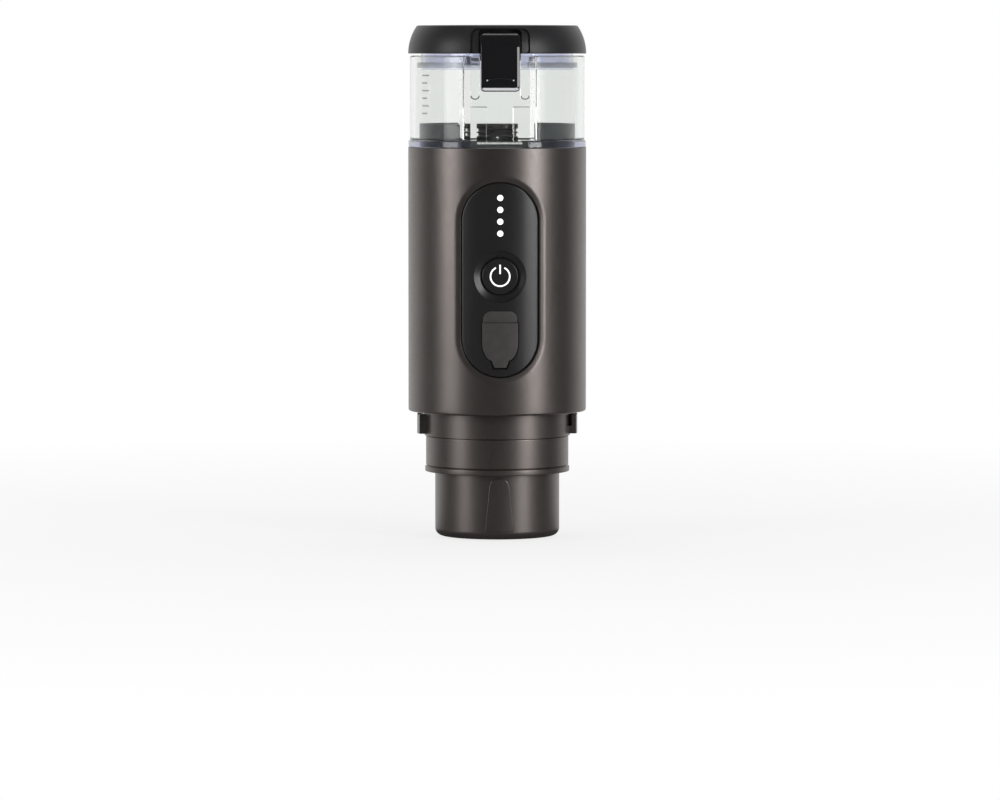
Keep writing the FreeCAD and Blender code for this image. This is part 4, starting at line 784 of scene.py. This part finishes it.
class ESPRESSO_OT_control_panel(bpy.types.Operator):
    """Models the sunk control panel with its button dish, light holes and flap recess"""
    bl_idname = "espresso.control_panel"
    bl_label = "Control panel"

    def execute(self, context):
        sizes, colours = chosen(context)
        low, high = panel_ends()
        half = sizes.panel_half - 0.05 * MM
        plate = bent_leaf(front_sheet("panel_plate", half, low, high, half, 28), 3.2 * MM, 0.55 * MM, 4,
                          half, 1.0 * MM, sizes.body_radius - sizes.panel_sink)
        dish_y, hole_y = node_low("power_button").y, node_high("power_symbol").y
        gap = sizes.button_radius + 0.18 * MM
        slope = (sizes.dish_radius - gap) * math.tan(math.radians(24))
        rows = [(-40 * MM, sizes.dish_radius), (dish_y, sizes.dish_radius), (dish_y + slope, gap),
                (hole_y + 9 * MM, gap)]
        tools = [turned_to_front("dish", rows, node_middle("power_button", Z), 128)]
        tools += [rod("light_hole", 1.2 * MM, -40 * MM, -25 * MM, 40, z) for z in light_heights()]
        flap_low = node_low("port_flap").z
        grip_rows = in_metres(((3.6, 3.9), (2.2, 3.75), (0.3, 3.1), (-0.55, 2.7)))
        grip = strip_sheet("grip", [(flap_low + z, wide) for z, wide in grip_rows])
        room_front = -44 * MM
        tools += [thickened(flap_shape("recess", 0.22 * MM), 12 * MM, 0, room_front),
                  thickened(band_shape("tab_recess", 0.06 * MM), 12 * MM, 0, room_front),
                  thickened(grip, 11.6 * MM, 0, room_front)]
        cut(plate, *tools)
        face_outwards(plate)
        rounded_edges(plate, 0.16 * MM, 2, 38)
        finished(plate, "body", panel_black(colours), ["control_panel"], 32)
        return {"FINISHED"}


class ESPRESSO_OT_button(bpy.types.Operator):
    """Models the power button with its lit symbol and the four charge lights"""
    bl_idname = "espresso.button"
    bl_label = "Button and lights"

    def execute(self, context):
        sizes, colours = chosen(context)
        front, back = node_low("power_button").y, node_high("power_button").y
        z, radius = node_middle("power_button", Z), sizes.button_radius
        corner, crown = 0.6 * MM, 0.12 * MM
        rows = [(front + 0.02 * MM, 1.5 * MM), (front + 0.03 * MM, 4.6 * MM),
                (front + crown, radius - 0.9 * MM)]
        rows += [(front + crown + corner * (1 - math.cos(a)), radius - corner * (1 - math.sin(a)))
                 for a in quarter_turn(6)]
        flange, inside = radius + 1.9 * MM, radius - 1.2 * MM
        rows += [(back - 0.8 * MM, radius), (back - 0.8 * MM, flange), (back, flange), (back, inside),
                 (front + 1.8 * MM, inside)]
        cap = turned_to_front("button_cap", rows, z, 144)
        symbol = self.symbol(z, front)
        groove = symbol.copy()
        groove.data = symbol.data.copy()
        context.collection.objects.link(groove)
        cut(cap, groove)
        face_outwards(cap)
        finished(cap, "button", panel_black(colours), ["power_button"], 32)
        lit = glowing("lit_symbol", colours.glow, 0.75)
        finished(symbol, "button", lit, ["power_symbol"], 32)
        front = -(sizes.body_radius - sizes.panel_sink) - 0.04 * MM
        profile = in_metres(((0, 0.2), (0.02, 0.7), (0.1, 1.02), (0.28, 1.16)))
        rows = [(front + y, dome_radius) for y, dome_radius in profile] + [(-28.5 * MM, 1.16 * MM)]
        for i, height in enumerate(light_heights(), 1):
            dome = turned_to_front("light_dome_%d" % i, rows, height, 40)
            lit = glowing("lit_dome_%d" % i, colours.glow, 1.25)
            finished(dome, "body", lit, ["light_lenses"], 40)
        return {"FINISHED"}

    def symbol(self, z, front):
        # Generic power symbol: an open ring and a bar in its gap
        outer, line, back = 4.06 * MM, 0.66 * MM, front + 0.55 * MM
        opening = math.tan(math.radians(25))
        rows = [(front, outer - line), (front, outer), (back, outer), (back, outer - line)]
        ring = turned_to_front("symbol_lines", rows, z, 144, ring=True)
        pick(ring, "FACE", lambda centre: centre.z > z and abs(centre.x) < opening * (centre.z - z))
        bpy.ops.mesh.delete(type="FACE")
        bpy.ops.mesh.select_all(action="SELECT")
        bpy.ops.mesh.fill_holes(sides=6)
        object_mode()
        bar = box_piece("bar", (-line / 2, front, z + 0.9 * MM), (line / 2, back, z + 4.6 * MM))
        symbol = joined([ring, bar], "symbol_lines")
        face_outwards(symbol)
        rounded_edges(symbol, 0.1 * MM, 2, 40)
        return symbol


class ESPRESSO_OT_flap(bpy.types.Operator):
    """Models the soft port flap, its grooved band and the pull at its foot"""
    bl_idname = "espresso.flap"
    bl_label = "Port flap"

    def execute(self, context):
        sizes, colours = chosen(context)
        front = sizes.body_radius - sizes.panel_sink + 0.12 * MM
        half = node_high("port_flap").x
        rubber = rubbery("flap_rubber", colours.flap, 0.5)
        leaves = (("flap_leaf", flap_shape, "flap", "port_flap", ()),
                  ("flap_band", band_shape, "body", "port_flap_tab", ((2.6, 0.1), (0.9, 0.16))))
        for name, shape, body, node, grooves in leaves:
            leaf = bent_leaf(shape(name, -0.03 * MM), 1.6 * MM, 0.32 * MM, 3, half, 0.8 * MM, front)
            for height, depth in in_metres(grooves):
                z, wide, slim = node_low(node).z + height, 6.0 * MM, 0.11 * MM
                cut(leaf, box_piece("groove", (-wide, -front - 1 * MM, z - slim),
                                    (wide, depth - front, z + slim)))
            face_outwards(leaf)
            finished(leaf, body, rubber, [node], 32)
        return {"FINISHED"}


# Lid and latch

class ESPRESSO_OT_lid(bpy.types.Operator):
    """Models the domed lid with its front notch, cheeks and hinge knuckle"""
    bl_idname = "espresso.lid"
    bl_label = "Lid"

    def execute(self, context):
        sizes, colours = chosen(context)
        top, side, wall = node_high("lid_shell").z, sizes.body_radius, 2.2 * MM
        low, below = top - 11.2 * MM, top - 31.2 * MM
        solid = turned("lid_solid", self.outside(low, top, side) + [(low, 1 * MM)], 200)
        inside = [(low, side - wall), (top - wall - 3 * MM, side - wall - 1.6 * MM),
                  (top - wall, side - wall - 4 * MM), (top - wall, 1 * MM)]
        lid = turned("lid_cover", self.outside(low, top, side) + inside, 200)
        # Cheeks and roof of the notch, then the notch itself
        half, back, notch_top, reach = 11.5 * MM, -27.5 * MM, top - 1.5 * MM, 60 * MM
        cheek = front_sheet("cheek", half + wall, below, notch_top + wall, 4.5 * MM, 8)
        cut(solid, thickened(cheek, reach, 0, back + wall - reach), operation="INTERSECT")
        cut(lid, solid, operation="UNION")
        notch = front_sheet("notch", half, below, notch_top, 3.0 * MM, 8)
        cut(lid, thickened(notch, reach, 0, back - reach))
        # Sunk shelf round the latch, which hides the ends of its pin
        shelf = front_sheet("shelf", half + 0.3 * MM, low, notch_top + 0.3 * MM, 3.0 * MM, 8)
        thickened(shelf, 7 * MM, 0, back - 6.6 * MM)
        foot = low - 0.01 * MM
        limit = self.outside(foot, top - 0.6 * MM, side - 0.7 * MM) + [(foot, 1 * MM)]
        cut(shelf, turned("limit", limit, 200), operation="INTERSECT")
        room = front_sheet("room", 8.35 * MM, below, notch_top - 0.35 * MM, 1.6 * MM, 6)
        cut(shelf, thickened(room, reach, 0, back - reach))
        cut(lid, shelf, operation="UNION")
        # Knuckle on the hinge pin and the arm that carries it
        pin_y, pin_z = node_middle("lid_hinge_pin", Y), node_middle("lid_hinge_pin", Z)
        arm_half, arm_y = 6 * MM, side - wall + 0.3 * MM
        knuckle = rod_across("knuckle", 2.2 * MM, -arm_half, arm_half, pin_y, pin_z)
        arm = box_piece("arm", (-arm_half, arm_y, pin_z), (arm_half, pin_y + 2.1 * MM, low + 2 * MM))
        cut(arm, rod("limit", pin_y + 2.2 * MM, pin_z - 1 * MM, top, 200), operation="INTERSECT")
        cut(lid, knuckle, arm, operation="UNION")
        cut(lid, rod_across("bore", 1.05 * MM, -8 * MM, 8 * MM, pin_y, pin_z))
        face_outwards(lid)
        rounded_edges(lid, 0.3 * MM, 3, 40)
        coat = moulded("lid_coat", colours.lid, 0.40, 0.05, depth=0.006, Specular_IOR_Level=0.38)
        finished(lid, "lid", coat, ["lid_shell"], 32)
        dress(clear_plastic("plug_plastic", colours.plug, 0.05, 60, IOR=1.45), "lid_plug")
        dress(clear_plastic("clear_silicone", (0.93, 0.94, 0.95), 0.28, 120, IOR=1.41), "lid_gasket")
        dress(screw_steel(), "lid_hinge_pin")
        return {"FINISHED"}

    def outside(self, low, top, side):
        # Outline of the dome from the middle of the top out and down to the rim
        fall, rise = 3.0 * MM, top - low - 0.9 * MM
        bend = (rise ** 2 + fall ** 2) / (2 * fall)
        corner, crest, foot = 1.2 * MM, 0.15 * MM, 0.35 * MM
        lean = math.asin((top - crest - low - corner) / (bend - corner))
        lean_degrees = math.degrees(lean)
        corner_z = low + (bend - corner) * math.sin(lean)
        corner_r = side - bend + (bend - corner) * math.cos(lean)
        rows = [(top, 3 * MM), (top - 0.02 * MM, 12 * MM), (top - 0.07 * MM, 22 * MM)]
        rows += round_rows(corner_z, corner_r, corner, 90, lean_degrees, 7)
        rows += round_rows(low, side - bend, bend, lean_degrees, 1.8, 14)[1:]
        rows += round_rows(low + foot, side - foot, foot, 0, -90, 4)
        return rows


class ESPRESSO_OT_latch(bpy.types.Operator):
    """Models the polished latch plate with its bevelled edges, hook and pin barrel"""
    bl_idname = "espresso.latch"
    bl_label = "Latch"

    def execute(self, context):
        colours = context.scene.espresso_colours
        low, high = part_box("latch_plate")
        half, thick, face = high.x, 2.2 * MM, low.y
        plate = thickened(front_sheet("latch_cover", half, low.z, high.z, 1.9 * MM, 7), thick)
        bevel_where(plate, front_rim, 1.5 * MM, 2)
        rounded_edges(plate, 0.16 * MM, 3, 15)
        sliced(plate, Z, low.z, high.z, 1.1 * MM)
        lean, lean_height = 2.9 * MM, 8.0 * MM
        for point in plate.data.vertices:
            t = max(0.0, (point.co.z - high.z + lean_height) / lean_height)
            point.co.y += face + lean * (0.28 * t + 0.72 * t * t)
        plate.data.update()
        pin_y, pin_z = node_middle("latch_pin", Y), node_middle("latch_pin", Z)
        back, pieces = face + thick, [plate]
        for side in (-1, 1):
            x0, x1 = sorted((side * 2.8 * MM, side * half))
            rows = [(x0, 0.85 * MM), (x0, 1.8 * MM), (x1, 1.8 * MM), (x1, 0.85 * MM)]
            pieces.append(turned_across("barrel", rows, pin_y, pin_z, ring=True))
            x0, x1 = sorted((side * 2.8 * MM, side * (half - 1 * MM)))
            pieces.append(box_piece("web", (x0, back - 0.2 * MM, pin_z - 1.8 * MM),
                                    (x1, pin_y - 0.9 * MM, pin_z - 0.3 * MM)))
        hook_top, hook_tip, hook_half = 180.3 * MM, -31.8 * MM, 6.3 * MM
        hook = box_piece("hook", (-hook_half, back - 0.2 * MM, hook_top - 2.0 * MM),
                         (hook_half, hook_tip, hook_top))
        pick(hook, "EDGE", lambda a, b: max(a.z, b.z) < hook_top - 1 * MM
             and min(a.y, b.y) > hook_tip - NEAR)
        bpy.ops.transform.translate(value=(0, 0, 1.2 * MM))
        object_mode()
        rounded_edges(hook, 0.15 * MM, 2, 30)
        latch = joined(pieces + [hook], "latch_cover")
        face_outwards(latch)
        finished(latch, "latch", moulded("latch_gloss", colours.latch, 0.07, 0.05, depth=0.002),
                 ["latch_plate"])
        # Painted highlight on the bevelled edges of the latch
        self.painted_highlight_edge(latch, painted_highlight_and_dots(colours), high.z - 11 * MM, back)
        self.thumb_line(face, low.z, colours)
        dress(brushed("dark_pin", (0.05, 0.05, 0.052), 0.35, (1, 6, 6)), "latch_pin")
        dress(screw_steel(), "latch_spring")
        return {"FINISHED"}

    def painted_highlight_edge(self, latch, highlight_and_dot_grey, top, back):
        # The slanting edge at the foot and the outer edge up the lower sides get a pale grey painted
        # highlight, standing in for the reflection on the black bevel
        latch.data.materials.append(highlight_and_dot_grey)
        for side in latch.data.polygons:
            turn, fall, out = side.normal.y, -side.normal.z, abs(side.normal.x)
            foot = -0.97 < turn < -0.6 and fall > 0.1 and fall > out * 0.9
            flank = -0.6 < turn < -0.15 and out > fall * 1.1
            if side.center.z < top and side.center.y < back and (foot or flank):
                side.material_index = 1

    def thumb_line(self, face, low, colours):
        # Faint raised arc between two small dots near the foot of the plate
        half, height = 5.1 * MM, low + 4.35 * MM
        left = [(x, low + z) for x, z in in_metres(((-5.1, 4.35), (-3.4, 4.75), (-1.7, 5.0)))]
        right = [(-x, z) for x, z in reversed(left)]
        arc = strip_path("thumb_arc", left + [(0, low + 5.1 * MM)] + right, 0.10 * MM)
        thickened(arc, 0.2 * MM, 0, face - 0.05 * MM)
        face_outwards(arc)
        finished(arc, "latch", moulded("thumb_line", (0.020, 0.020, 0.022), 0.4, 0.05))
        profile = in_metres(((-0.18, 0.05), (-0.15, 0.19), (-0.04, 0.3), (0.2, 0.3)))
        rows = [(face + y, radius) for y, radius in profile]
        dots = [settled(turned_to_front("thumb_dots", rows, height, 20), location=(x, 0, 0))
                for x in (-half, half)]
        dots = joined(dots, "thumb_dots")
        face_outwards(dots)
        finished(dots, "latch", painted_highlight_and_dots(colours))


# Water tank

class ESPRESSO_OT_tank(bpy.types.Operator):
    """Models the clear water tank with its front channel, rails, pads, catch and hinge ears"""
    bl_idname = "espresso.tank"
    bl_label = "Water tank"

    def execute(self, context):
        sizes, colours = chosen(context)
        foot_z = node_high("body_shell").z
        floor_z = foot_z + 2.7 * MM
        rim, wall = floor_z + sizes.tank_height, sizes.tank_wall
        outer = sizes.body_radius - 0.65 * MM
        inner = outer - wall
        outline = self.outline(sizes, foot_z, floor_z, rim, outer, inner)
        tank = turned("clear_tank", outline, 224, ring=True)
        half, back, front = sizes.channel_half, -30.0 * MM, -60 * MM
        front_wall = self.upright("front_wall", half + wall, front, back + wall, foot_z, rim, 1.2 * MM)
        limit = rod("limit", outer - 1.2 * MM, foot_z - 1 * MM, rim + 1 * MM, 224)
        cut(front_wall, limit, operation="INTERSECT")
        channel = self.upright("channel", half, front, back, floor_z, rim + 5 * MM, 0.8 * MM)
        cut(tank, front_wall, operation="UNION")
        cut(tank, channel)
        pin_y, pin_z = node_middle("lid_hinge_pin", Y), node_middle("lid_hinge_pin", Z)
        pieces = []
        for side in (-1, 1):
            rail_half = 1.8 * MM
            rail = front_sheet("rail", rail_half, rim - 17 * MM, rim + 1.8 * MM, 1.6 * MM, 8)
            thickened(rail, 2.9 * MM)
            bevel_where(rail, front_rim, 0.45 * MM, 2)
            settled(rail, location=(side * (half - rail_half), back - 2.6 * MM, 0))
            cut(rail, box_piece("over", (-half, -40 * MM, rim - 0.3 * MM), (half, -20 * MM, rim + 5 * MM)))
            x0, x1 = sorted((side * (half - 6.4 * MM), side * (half + 0.4 * MM)))
            pad = box_piece("pad", (x0, back - 2.2 * MM, floor_z - 0.4 * MM),
                            (x1, back + 0.4 * MM, floor_z + 13.4 * MM))
            rounded_edges(pad, 0.4 * MM, 3, 30)
            x0, x1 = sorted((side * 6.15 * MM, side * 11.15 * MM))
            ear = rod_across("ear", 2.2 * MM, x0, x1, pin_y, pin_z)
            root = box_piece("root", (x0, inner + 0.4 * MM, pin_z - 2.2 * MM), (x1, pin_y, rim - 0.2 * MM))
            pieces += [rail, pad, ear, root]
        catch_z, catch_half = rim - 7.0 * MM, 6.5 * MM
        catch = box_piece("catch", (-catch_half, back - 1.6 * MM, catch_z - 1.4 * MM),
                          (catch_half, back + 0.4 * MM, catch_z + 1.6 * MM))
        pick(catch, "EDGE", lambda a, b: min(a.z, b.z) > catch_z + 1 * MM
             and max(a.y, b.y) < back - 1 * MM)
        bpy.ops.transform.translate(value=(0, 0, -1.6 * MM))
        object_mode()
        rounded_edges(catch, 0.15 * MM, 2, 30)
        cut(tank, *pieces, catch, operation="UNION")
        cut(tank, rod_across("bore", 1.0 * MM, -12 * MM, 12 * MM, pin_y, pin_z),
            rod_across("knuckle_room", 2.35 * MM, -6.15 * MM, 6.15 * MM, pin_y, pin_z))
        face_outwards(tank)
        dull = (0.3, 0.3, 0.3, 1.0)
        clear = clear_plastic("clear_tank", colours.tank, 0.015, 45, IOR=1.49, Specular_Tint=dull)
        finished(tank, "body", clear, ["water_tank"], 35)
        self.narrow_faces(tank, half, wall, back, floor_z, rim)
        # Pale grey raised volume marks
        dress(moulded("mark_print", (0.46, 0.47, 0.48), 0.45, 0.1, 4000), "tank_marks")
        return {"FINISHED"}

    def outline(self, sizes, foot_z, floor_z, rim, outer, inner):
        # Skirt inside the body shell, flange at the foot, wall and rounded rim
        foot, bore = sizes.body_radius - 0.1 * MM, inner - 1.15 * MM
        skirt_z, skirt = foot_z - 5.6 * MM, sizes.body_radius - sizes.shell_wall - 0.1 * MM
        rows = [(skirt_z, bore), (skirt_z, skirt), (foot_z, skirt)]
        rows += round_rows(foot_z + 0.3 * MM, foot - 0.3 * MM, 0.3 * MM, -90, 0, 3)
        rows += round_rows(floor_z - 0.5 * MM, foot - 0.5 * MM, 0.5 * MM, 0, 90, 4)
        rows += [(floor_z, outer + 0.05 * MM), (floor_z + 0.1 * MM, outer), (floor_z + 1 * MM, outer),
                 (rim - 1.2 * MM, outer)]
        rows += round_rows(rim - 0.6 * MM, outer - 0.6 * MM, 0.6 * MM, 0, 90, 4)
        rows += round_rows(rim - 0.5 * MM, inner + 0.5 * MM, 0.5 * MM, 90, 180, 4)
        rows += [(rim - 1.2 * MM, inner), (floor_z + 1.2 * MM, inner), (floor_z + 0.6 * MM, inner),
                 (floor_z + 0.16 * MM, inner - 0.16 * MM), (floor_z, inner - 0.6 * MM), (floor_z, bore)]
        return rows

    def upright(self, name, half, front, back, low, high, corner):
        # Upright bar whose two back corners are rounded
        bar = box_piece(name, (-half, front, low), (half, back, high))
        pick(bar, "EDGE", lambda a, b: (a.xy - b.xy).length < SAME and a.y > back - SAME)
        bpy.ops.mesh.bevel(offset=corner, segments=5, affect="EDGES")
        object_mode()
        return bar

    def narrow_faces(self, tank, half, wall, back, floor_z, rim):
        # Painted highlight in white on the ends of the channel's walls, standing in for the light they
        # bend and reflect; painted shade in dark on the slanting bevels of rails and pads, standing in for
        # dark refractions; blue grey flange over the seal
        finishes = (("tank_painted_highlight", (1.0, 1.0, 1.0), 0.06, 1.3, 0.6),
                    ("tank_painted_shade", (0.05, 0.05, 0.055), 0.12, 1.49, 0.5),
                    ("tank_foot", (0.40, 0.41, 0.52), 0.10, 1.49, 0.2))
        for name, tone, rough, bend, shine in finishes:
            finish = clear_plastic(name, tone, rough, 90, IOR=bend, Specular_IOR_Level=shine)
            tank.data.materials.append(finish)
        painted_highlight_faces, dim, foot = 1, 2, 3
        for side in tank.data.polygons:
            across, deep, up = abs(side.center.x), side.center.y, side.center.z
            slanting = -0.95 < side.normal.y < -0.15
            # Painted highlight on the ends of the channel's walls
            if half < across < half + wall and deep < back and floor_z < up < rim - 1.5 * MM:
                side.material_index = painted_highlight_faces
            elif across < half - 0.1 * MM and back - 5.6 * MM < deep < back - 1.0 * MM:
                # Painted shade on the slanting bevels of rails and pads
                if slanting and floor_z + 12.8 * MM < up < rim - 15 * MM:
                    side.material_index = dim
            elif up < floor_z - 0.3 * MM and math.hypot(side.center.x, deep) > 34 * MM:
                side.material_index = foot


# Brewing end

class ESPRESSO_OT_brew_end(bpy.types.Operator):
    """Models the brew ring with its thread teeth and the rounded lower cylinder"""
    bl_idname = "espresso.brew_end"
    bl_label = "Brewing end"

    def execute(self, context):
        colours = context.scene.espresso_colours
        coat = satin_coat(colours)
        # Outside from the foot up with its groove, the neck of the thread, then down the inside
        ring_rows = ((25.5, 24.55), (25.5, 28.2), (25.57, 28.38), (25.75, 28.45), (27.25, 28.45),
                     (27.43, 28.38), (27.5, 28.2), (27.6, 27.95), (27.78, 27.8), (28.0, 27.95),
                     (28.2, 28.1), (39.1, 28.1), (39.34, 28.03), (39.45, 27.9), (39.5, 27.7), (39.5, 25.1),
                     (46.9, 25.1), (47.2, 24.8), (47.2, 22.9), (38.7, 22.9), (38.7, 17.5), (36.1, 17.5),
                     (36.1, 22.3), (30.5, 22.3), (30.5, 24.55))
        ring = turned("brew_ring", in_metres(ring_rows), 192, ring=True)
        teeth = [self.tooth(start) for start in (0, 120, 240)]
        ring = joined([ring, *teeth, self.key_line(28.23 * MM)], "brew_ring")
        face_outwards(ring)
        finished(ring, "head", coat, ["brew_head"])
        foot, outer, inner, hole = 3.0, 24.5, 22.3, 8.4
        rows = in_metres(((0.0, hole), (0.0, outer - foot)))
        rows += round_rows(foot * MM, (outer - foot) * MM, foot * MM, -90, 0, 12)[1:]
        rows += in_metres(((30.5, outer), (30.5, inner), (5.0, inner), (2.8, inner - 0.8),
                           (2.2, inner - 2.4), (2.2, hole)))
        shroud = turned("lower_cylinder", rows, 192, ring=True)
        # Arched pad on the front of the cylinder
        bow = 4.0
        rows = [(20.3 + bow * math.cos(a), max(0.35, bow * math.sin(a))) for a in quarter_turn(8)]
        arch = bent_leaf(strip_sheet("arch", in_metres(rows + [(3.2, 5.8)])), 0.9 * MM, 0.25 * MM, 3,
                         6 * MM, 0.8 * MM, (outer + 0.28) * MM)
        shroud = joined([shroud, arch], "lower_cylinder")
        face_outwards(shroud)
        finished(shroud, "head", coat, ["lower_shroud"])
        dress(coat, "chassis")
        dress(ringed("plate_steel", (0.62, 0.62, 0.61), 0.24, 0.28), "brew_plate", "sieve_plate")
        dress(brushed("needle_steel", (0.66, 0.66, 0.67), 0.2, (1, 1, 12)), "piercing_needles")
        dress(moulded("basket_black", shade(colours.black, 1.2), 0.38, 0.1), "capsule_basket")
        dress(moulded("spout_black", colours.black, 0.42, 0.1), "outlet_spout")
        dress(silicone(), "brew_gasket")
        dress(screw_steel(), "brew_plate_screws")
        return {"FINISHED"}

    def key_line(self, radius):
        # Thin raised line that shows how far the end is turned
        points = ((-4.4, 28.4), (-3.1, 34.2), (-2.7, 35.2), (-2.0, 35.8), (-1.1, 36.0), (0.4, 36.0),
                  (2.3, 35.6))
        line = thickened(strip_path("key_line", in_metres(points), 0.16 * MM), 0.35 * MM)
        rounded_edges(line, 0.05 * MM, 2, 40)
        on_front(line, radius)
        return line

    def tooth(self, start):
        # One tooth of the quick thread, climbing along its arc
        middle, height, root, tip = 43.5 * MM, 2.6 * MM, 24.6 * MM, 26.3 * MM
        arc, lead = 30.0, 24.0 * MM
        tooth = plain_sheet("tooth", tip - root, height, (root + tip) / 2, middle)
        opened(tooth)
        bpy.ops.mesh.spin(steps=10, angle=math.radians(-arc), center=(0, 0, 0), axis=(0, 0, 1))
        bpy.ops.mesh.select_all(action="SELECT")
        bpy.ops.mesh.remove_doubles(threshold=SAME / 10)
        object_mode()
        for point in tooth.data.vertices:
            point.co.z += lead * math.atan2(point.co.y, point.co.x) / (2 * math.pi)
        settled(tooth, rotation_euler=(0, 0, math.radians(start)))
        rounded_edges(tooth, 0.2 * MM, 2, 40)
        return tooth


# Inner groups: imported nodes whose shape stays, each with its own finish

class ESPRESSO_OT_heater(bpy.types.Operator):
    """Finishes the heater in the tank floor: base, plate, element, strainer, seal and the two sensors"""
    bl_idname = "espresso.heater"
    bl_label = "Heater"

    def execute(self, context):
        black = context.scene.espresso_colours.black
        dress(moulded("heater_grey", (0.050, 0.054, 0.058), 0.38, 0.22, 2200, clouds=220), "heater_base")
        dress(moulded("strainer_black", black, 0.3, 0.1), "strainer")
        dress(ringed("heater_steel", (0.68, 0.68, 0.67), 0.16, 0.3, 0.003), "heater_plate")
        dress(coiled_wire("element_track", (0.34, 0.17, 0.07), 1.1, "X"), "heating_element")
        dress(brushed("cutout_can", (0.60, 0.58, 0.55), 0.32, (1, 1, 5)), "thermal_cutout")
        dress(brushed("sensor_brass", (0.60, 0.43, 0.18), 0.28, (1, 1, 6)), "temperature_sensor")
        dress(silicone(), "tank_seal")
        return {"FINISHED"}


class ESPRESSO_OT_power(bpy.types.Operator):
    """Finishes the cells, their trays, the board, the switch and the charging socket"""
    bl_idname = "espresso.power"
    bl_label = "Cells and electronics"

    def execute(self, context):
        colours = context.scene.espresso_colours
        low, high = node_low("battery_cells").z + 0.7 * MM, node_high("battery_cells").z - 1.7 * MM
        green, steel = (0.03, 0.15, 0.12), (0.68, 0.68, 0.68)
        wrap = two_zone("cell_wrap", "Z", low, high, green, steel, (0.24, 0.32), (1.0, 0.0))
        dress(wrap, "battery_cells")
        low, high = node_middle("charging_jack", X) - 1.1 * MM, node_middle("charging_jack", X) + 1.1 * MM
        pin, case = (0.62, 0.62, 0.60), (0.022, 0.022, 0.023)
        jack = two_zone("jack_finish", "X", low, high, pin, case, (0.48, 0.28), (0.0, 1.0))
        dress(jack, "charging_jack")
        dress(solder_mask("solder_mask"), "main_board")
        tray = moulded("tray_black", shade(colours.black, 1.5), 0.55, 0.12, 1800, 0.05)
        dress(tray, "lower_tray", "upper_tray")
        dress(moulded("switch_body", shade(colours.black, 1.1), 0.4, 0.08), "power_switch")
        dress(moulded("plunger_ivory", (0.62, 0.58, 0.48), 0.4, 0.06), "switch_plunger")
        dress(glowing("lit_chip", colours.glow, 1.1), "status_lights")
        dress(screw_steel(), "panel_screws", "tray_screws")
        return {"FINISHED"}


class ESPRESSO_OT_motor(bpy.types.Operator):
    """Finishes the motor: can, end cap, magnets, bearings, armature and shaft"""
    bl_idname = "espresso.motor"
    bl_label = "Motor"

    def execute(self, context):
        black = context.scene.espresso_colours.black
        dress(brushed("motor_plate", (0.60, 0.58, 0.54), 0.3, (1, 1, 14)), "motor_can")
        dress(moulded("end_cap", shade(black, 1.4), 0.5, 0.1), "motor_end_cap")
        dress(moulded("ferrite", (0.040, 0.040, 0.044), 0.62, 0.25, 1500, 0.06), "motor_magnets")
        dress(brushed("bronze", (0.42, 0.26, 0.12), 0.38, (6, 6, 1)), "motor_bearings")
        iron = brushed("laminated_iron", (0.34, 0.34, 0.35), 0.42, (0.05, 0.05, 2.2), 1600, 0.02)
        dress(iron, "armature_core")
        dress(coiled_wire("enamelled_copper", (0.56, 0.20, 0.08), 0.35), "armature_windings")
        dress(brushed("ground_shaft", (0.66, 0.66, 0.67), 0.2, (1, 1, 10)), "motor_shaft")
        return {"FINISHED"}


class ESPRESSO_OT_pump(bpy.types.Operator):
    """Finishes the gear pump and the two tubes"""
    bl_idname = "espresso.pump"
    bl_label = "Pump"

    def execute(self, context):
        dress(moulded("acetal", (0.70, 0.69, 0.64), 0.33, 0.04, 1800), "drive_gear", "driven_gear")
        resin = moulded("pump_resin", (0.055, 0.055, 0.060), 0.42, 0.15, 1500, 0.05)
        dress(resin, "pump_housing", "pump_cover")
        dress(screw_steel(), "pump_screws")
        dress(silicone(), "shaft_seal", "inlet_tube", "outlet_tube")
        return {"FINISHED"}


class ESPRESSO_PT_panel(bpy.types.Panel):
    """Sizes, colours and building steps of the espresso maker"""
    bl_label = "Espresso maker"
    bl_idname = "ESPRESSO_PT_panel"
    bl_space_type = "VIEW_3D"
    bl_region_type = "UI"
    bl_category = "Espresso"

    def draw(self, context):
        layout = self.layout
        for group in (context.scene.espresso_sizes, context.scene.espresso_colours):
            box = layout.box()
            for name in group.__annotations__:
                box.prop(group, name)
        for step in STEPS:
            layout.operator(step.bl_idname)


STEPS = (ESPRESSO_OT_stage, ESPRESSO_OT_body, ESPRESSO_OT_control_panel, ESPRESSO_OT_button,
         ESPRESSO_OT_flap, ESPRESSO_OT_lid, ESPRESSO_OT_latch, ESPRESSO_OT_tank, ESPRESSO_OT_heater,
         ESPRESSO_OT_brew_end, ESPRESSO_OT_power, ESPRESSO_OT_motor, ESPRESSO_OT_pump)
GROUPS = (EspressoSizes, EspressoColours)


def register():
    for group in GROUPS + STEPS + (ESPRESSO_PT_panel,):
        bpy.utils.register_class(group)
    bpy.types.Scene.espresso_sizes = bpy.props.PointerProperty(type=EspressoSizes)
    bpy.types.Scene.espresso_colours = bpy.props.PointerProperty(type=EspressoColours)


def unregister():
    del bpy.types.Scene.espresso_colours
    del bpy.types.Scene.espresso_sizes
    for group in reversed(GROUPS + STEPS + (ESPRESSO_PT_panel,)):
        bpy.utils.unregister_class(group)


def main():
    register()
    bpy.ops.espresso.stage()
    bpy.ops.espresso.body()
    bpy.ops.espresso.control_panel()
    bpy.ops.espresso.button()
    bpy.ops.espresso.flap()
    bpy.ops.espresso.lid()
    bpy.ops.espresso.latch()
    bpy.ops.espresso.tank()
    bpy.ops.espresso.heater()
    bpy.ops.espresso.brew_end()
    bpy.ops.espresso.power()
    bpy.ops.espresso.motor()
    bpy.ops.espresso.pump()


if __name__ == "__main__":
    main()
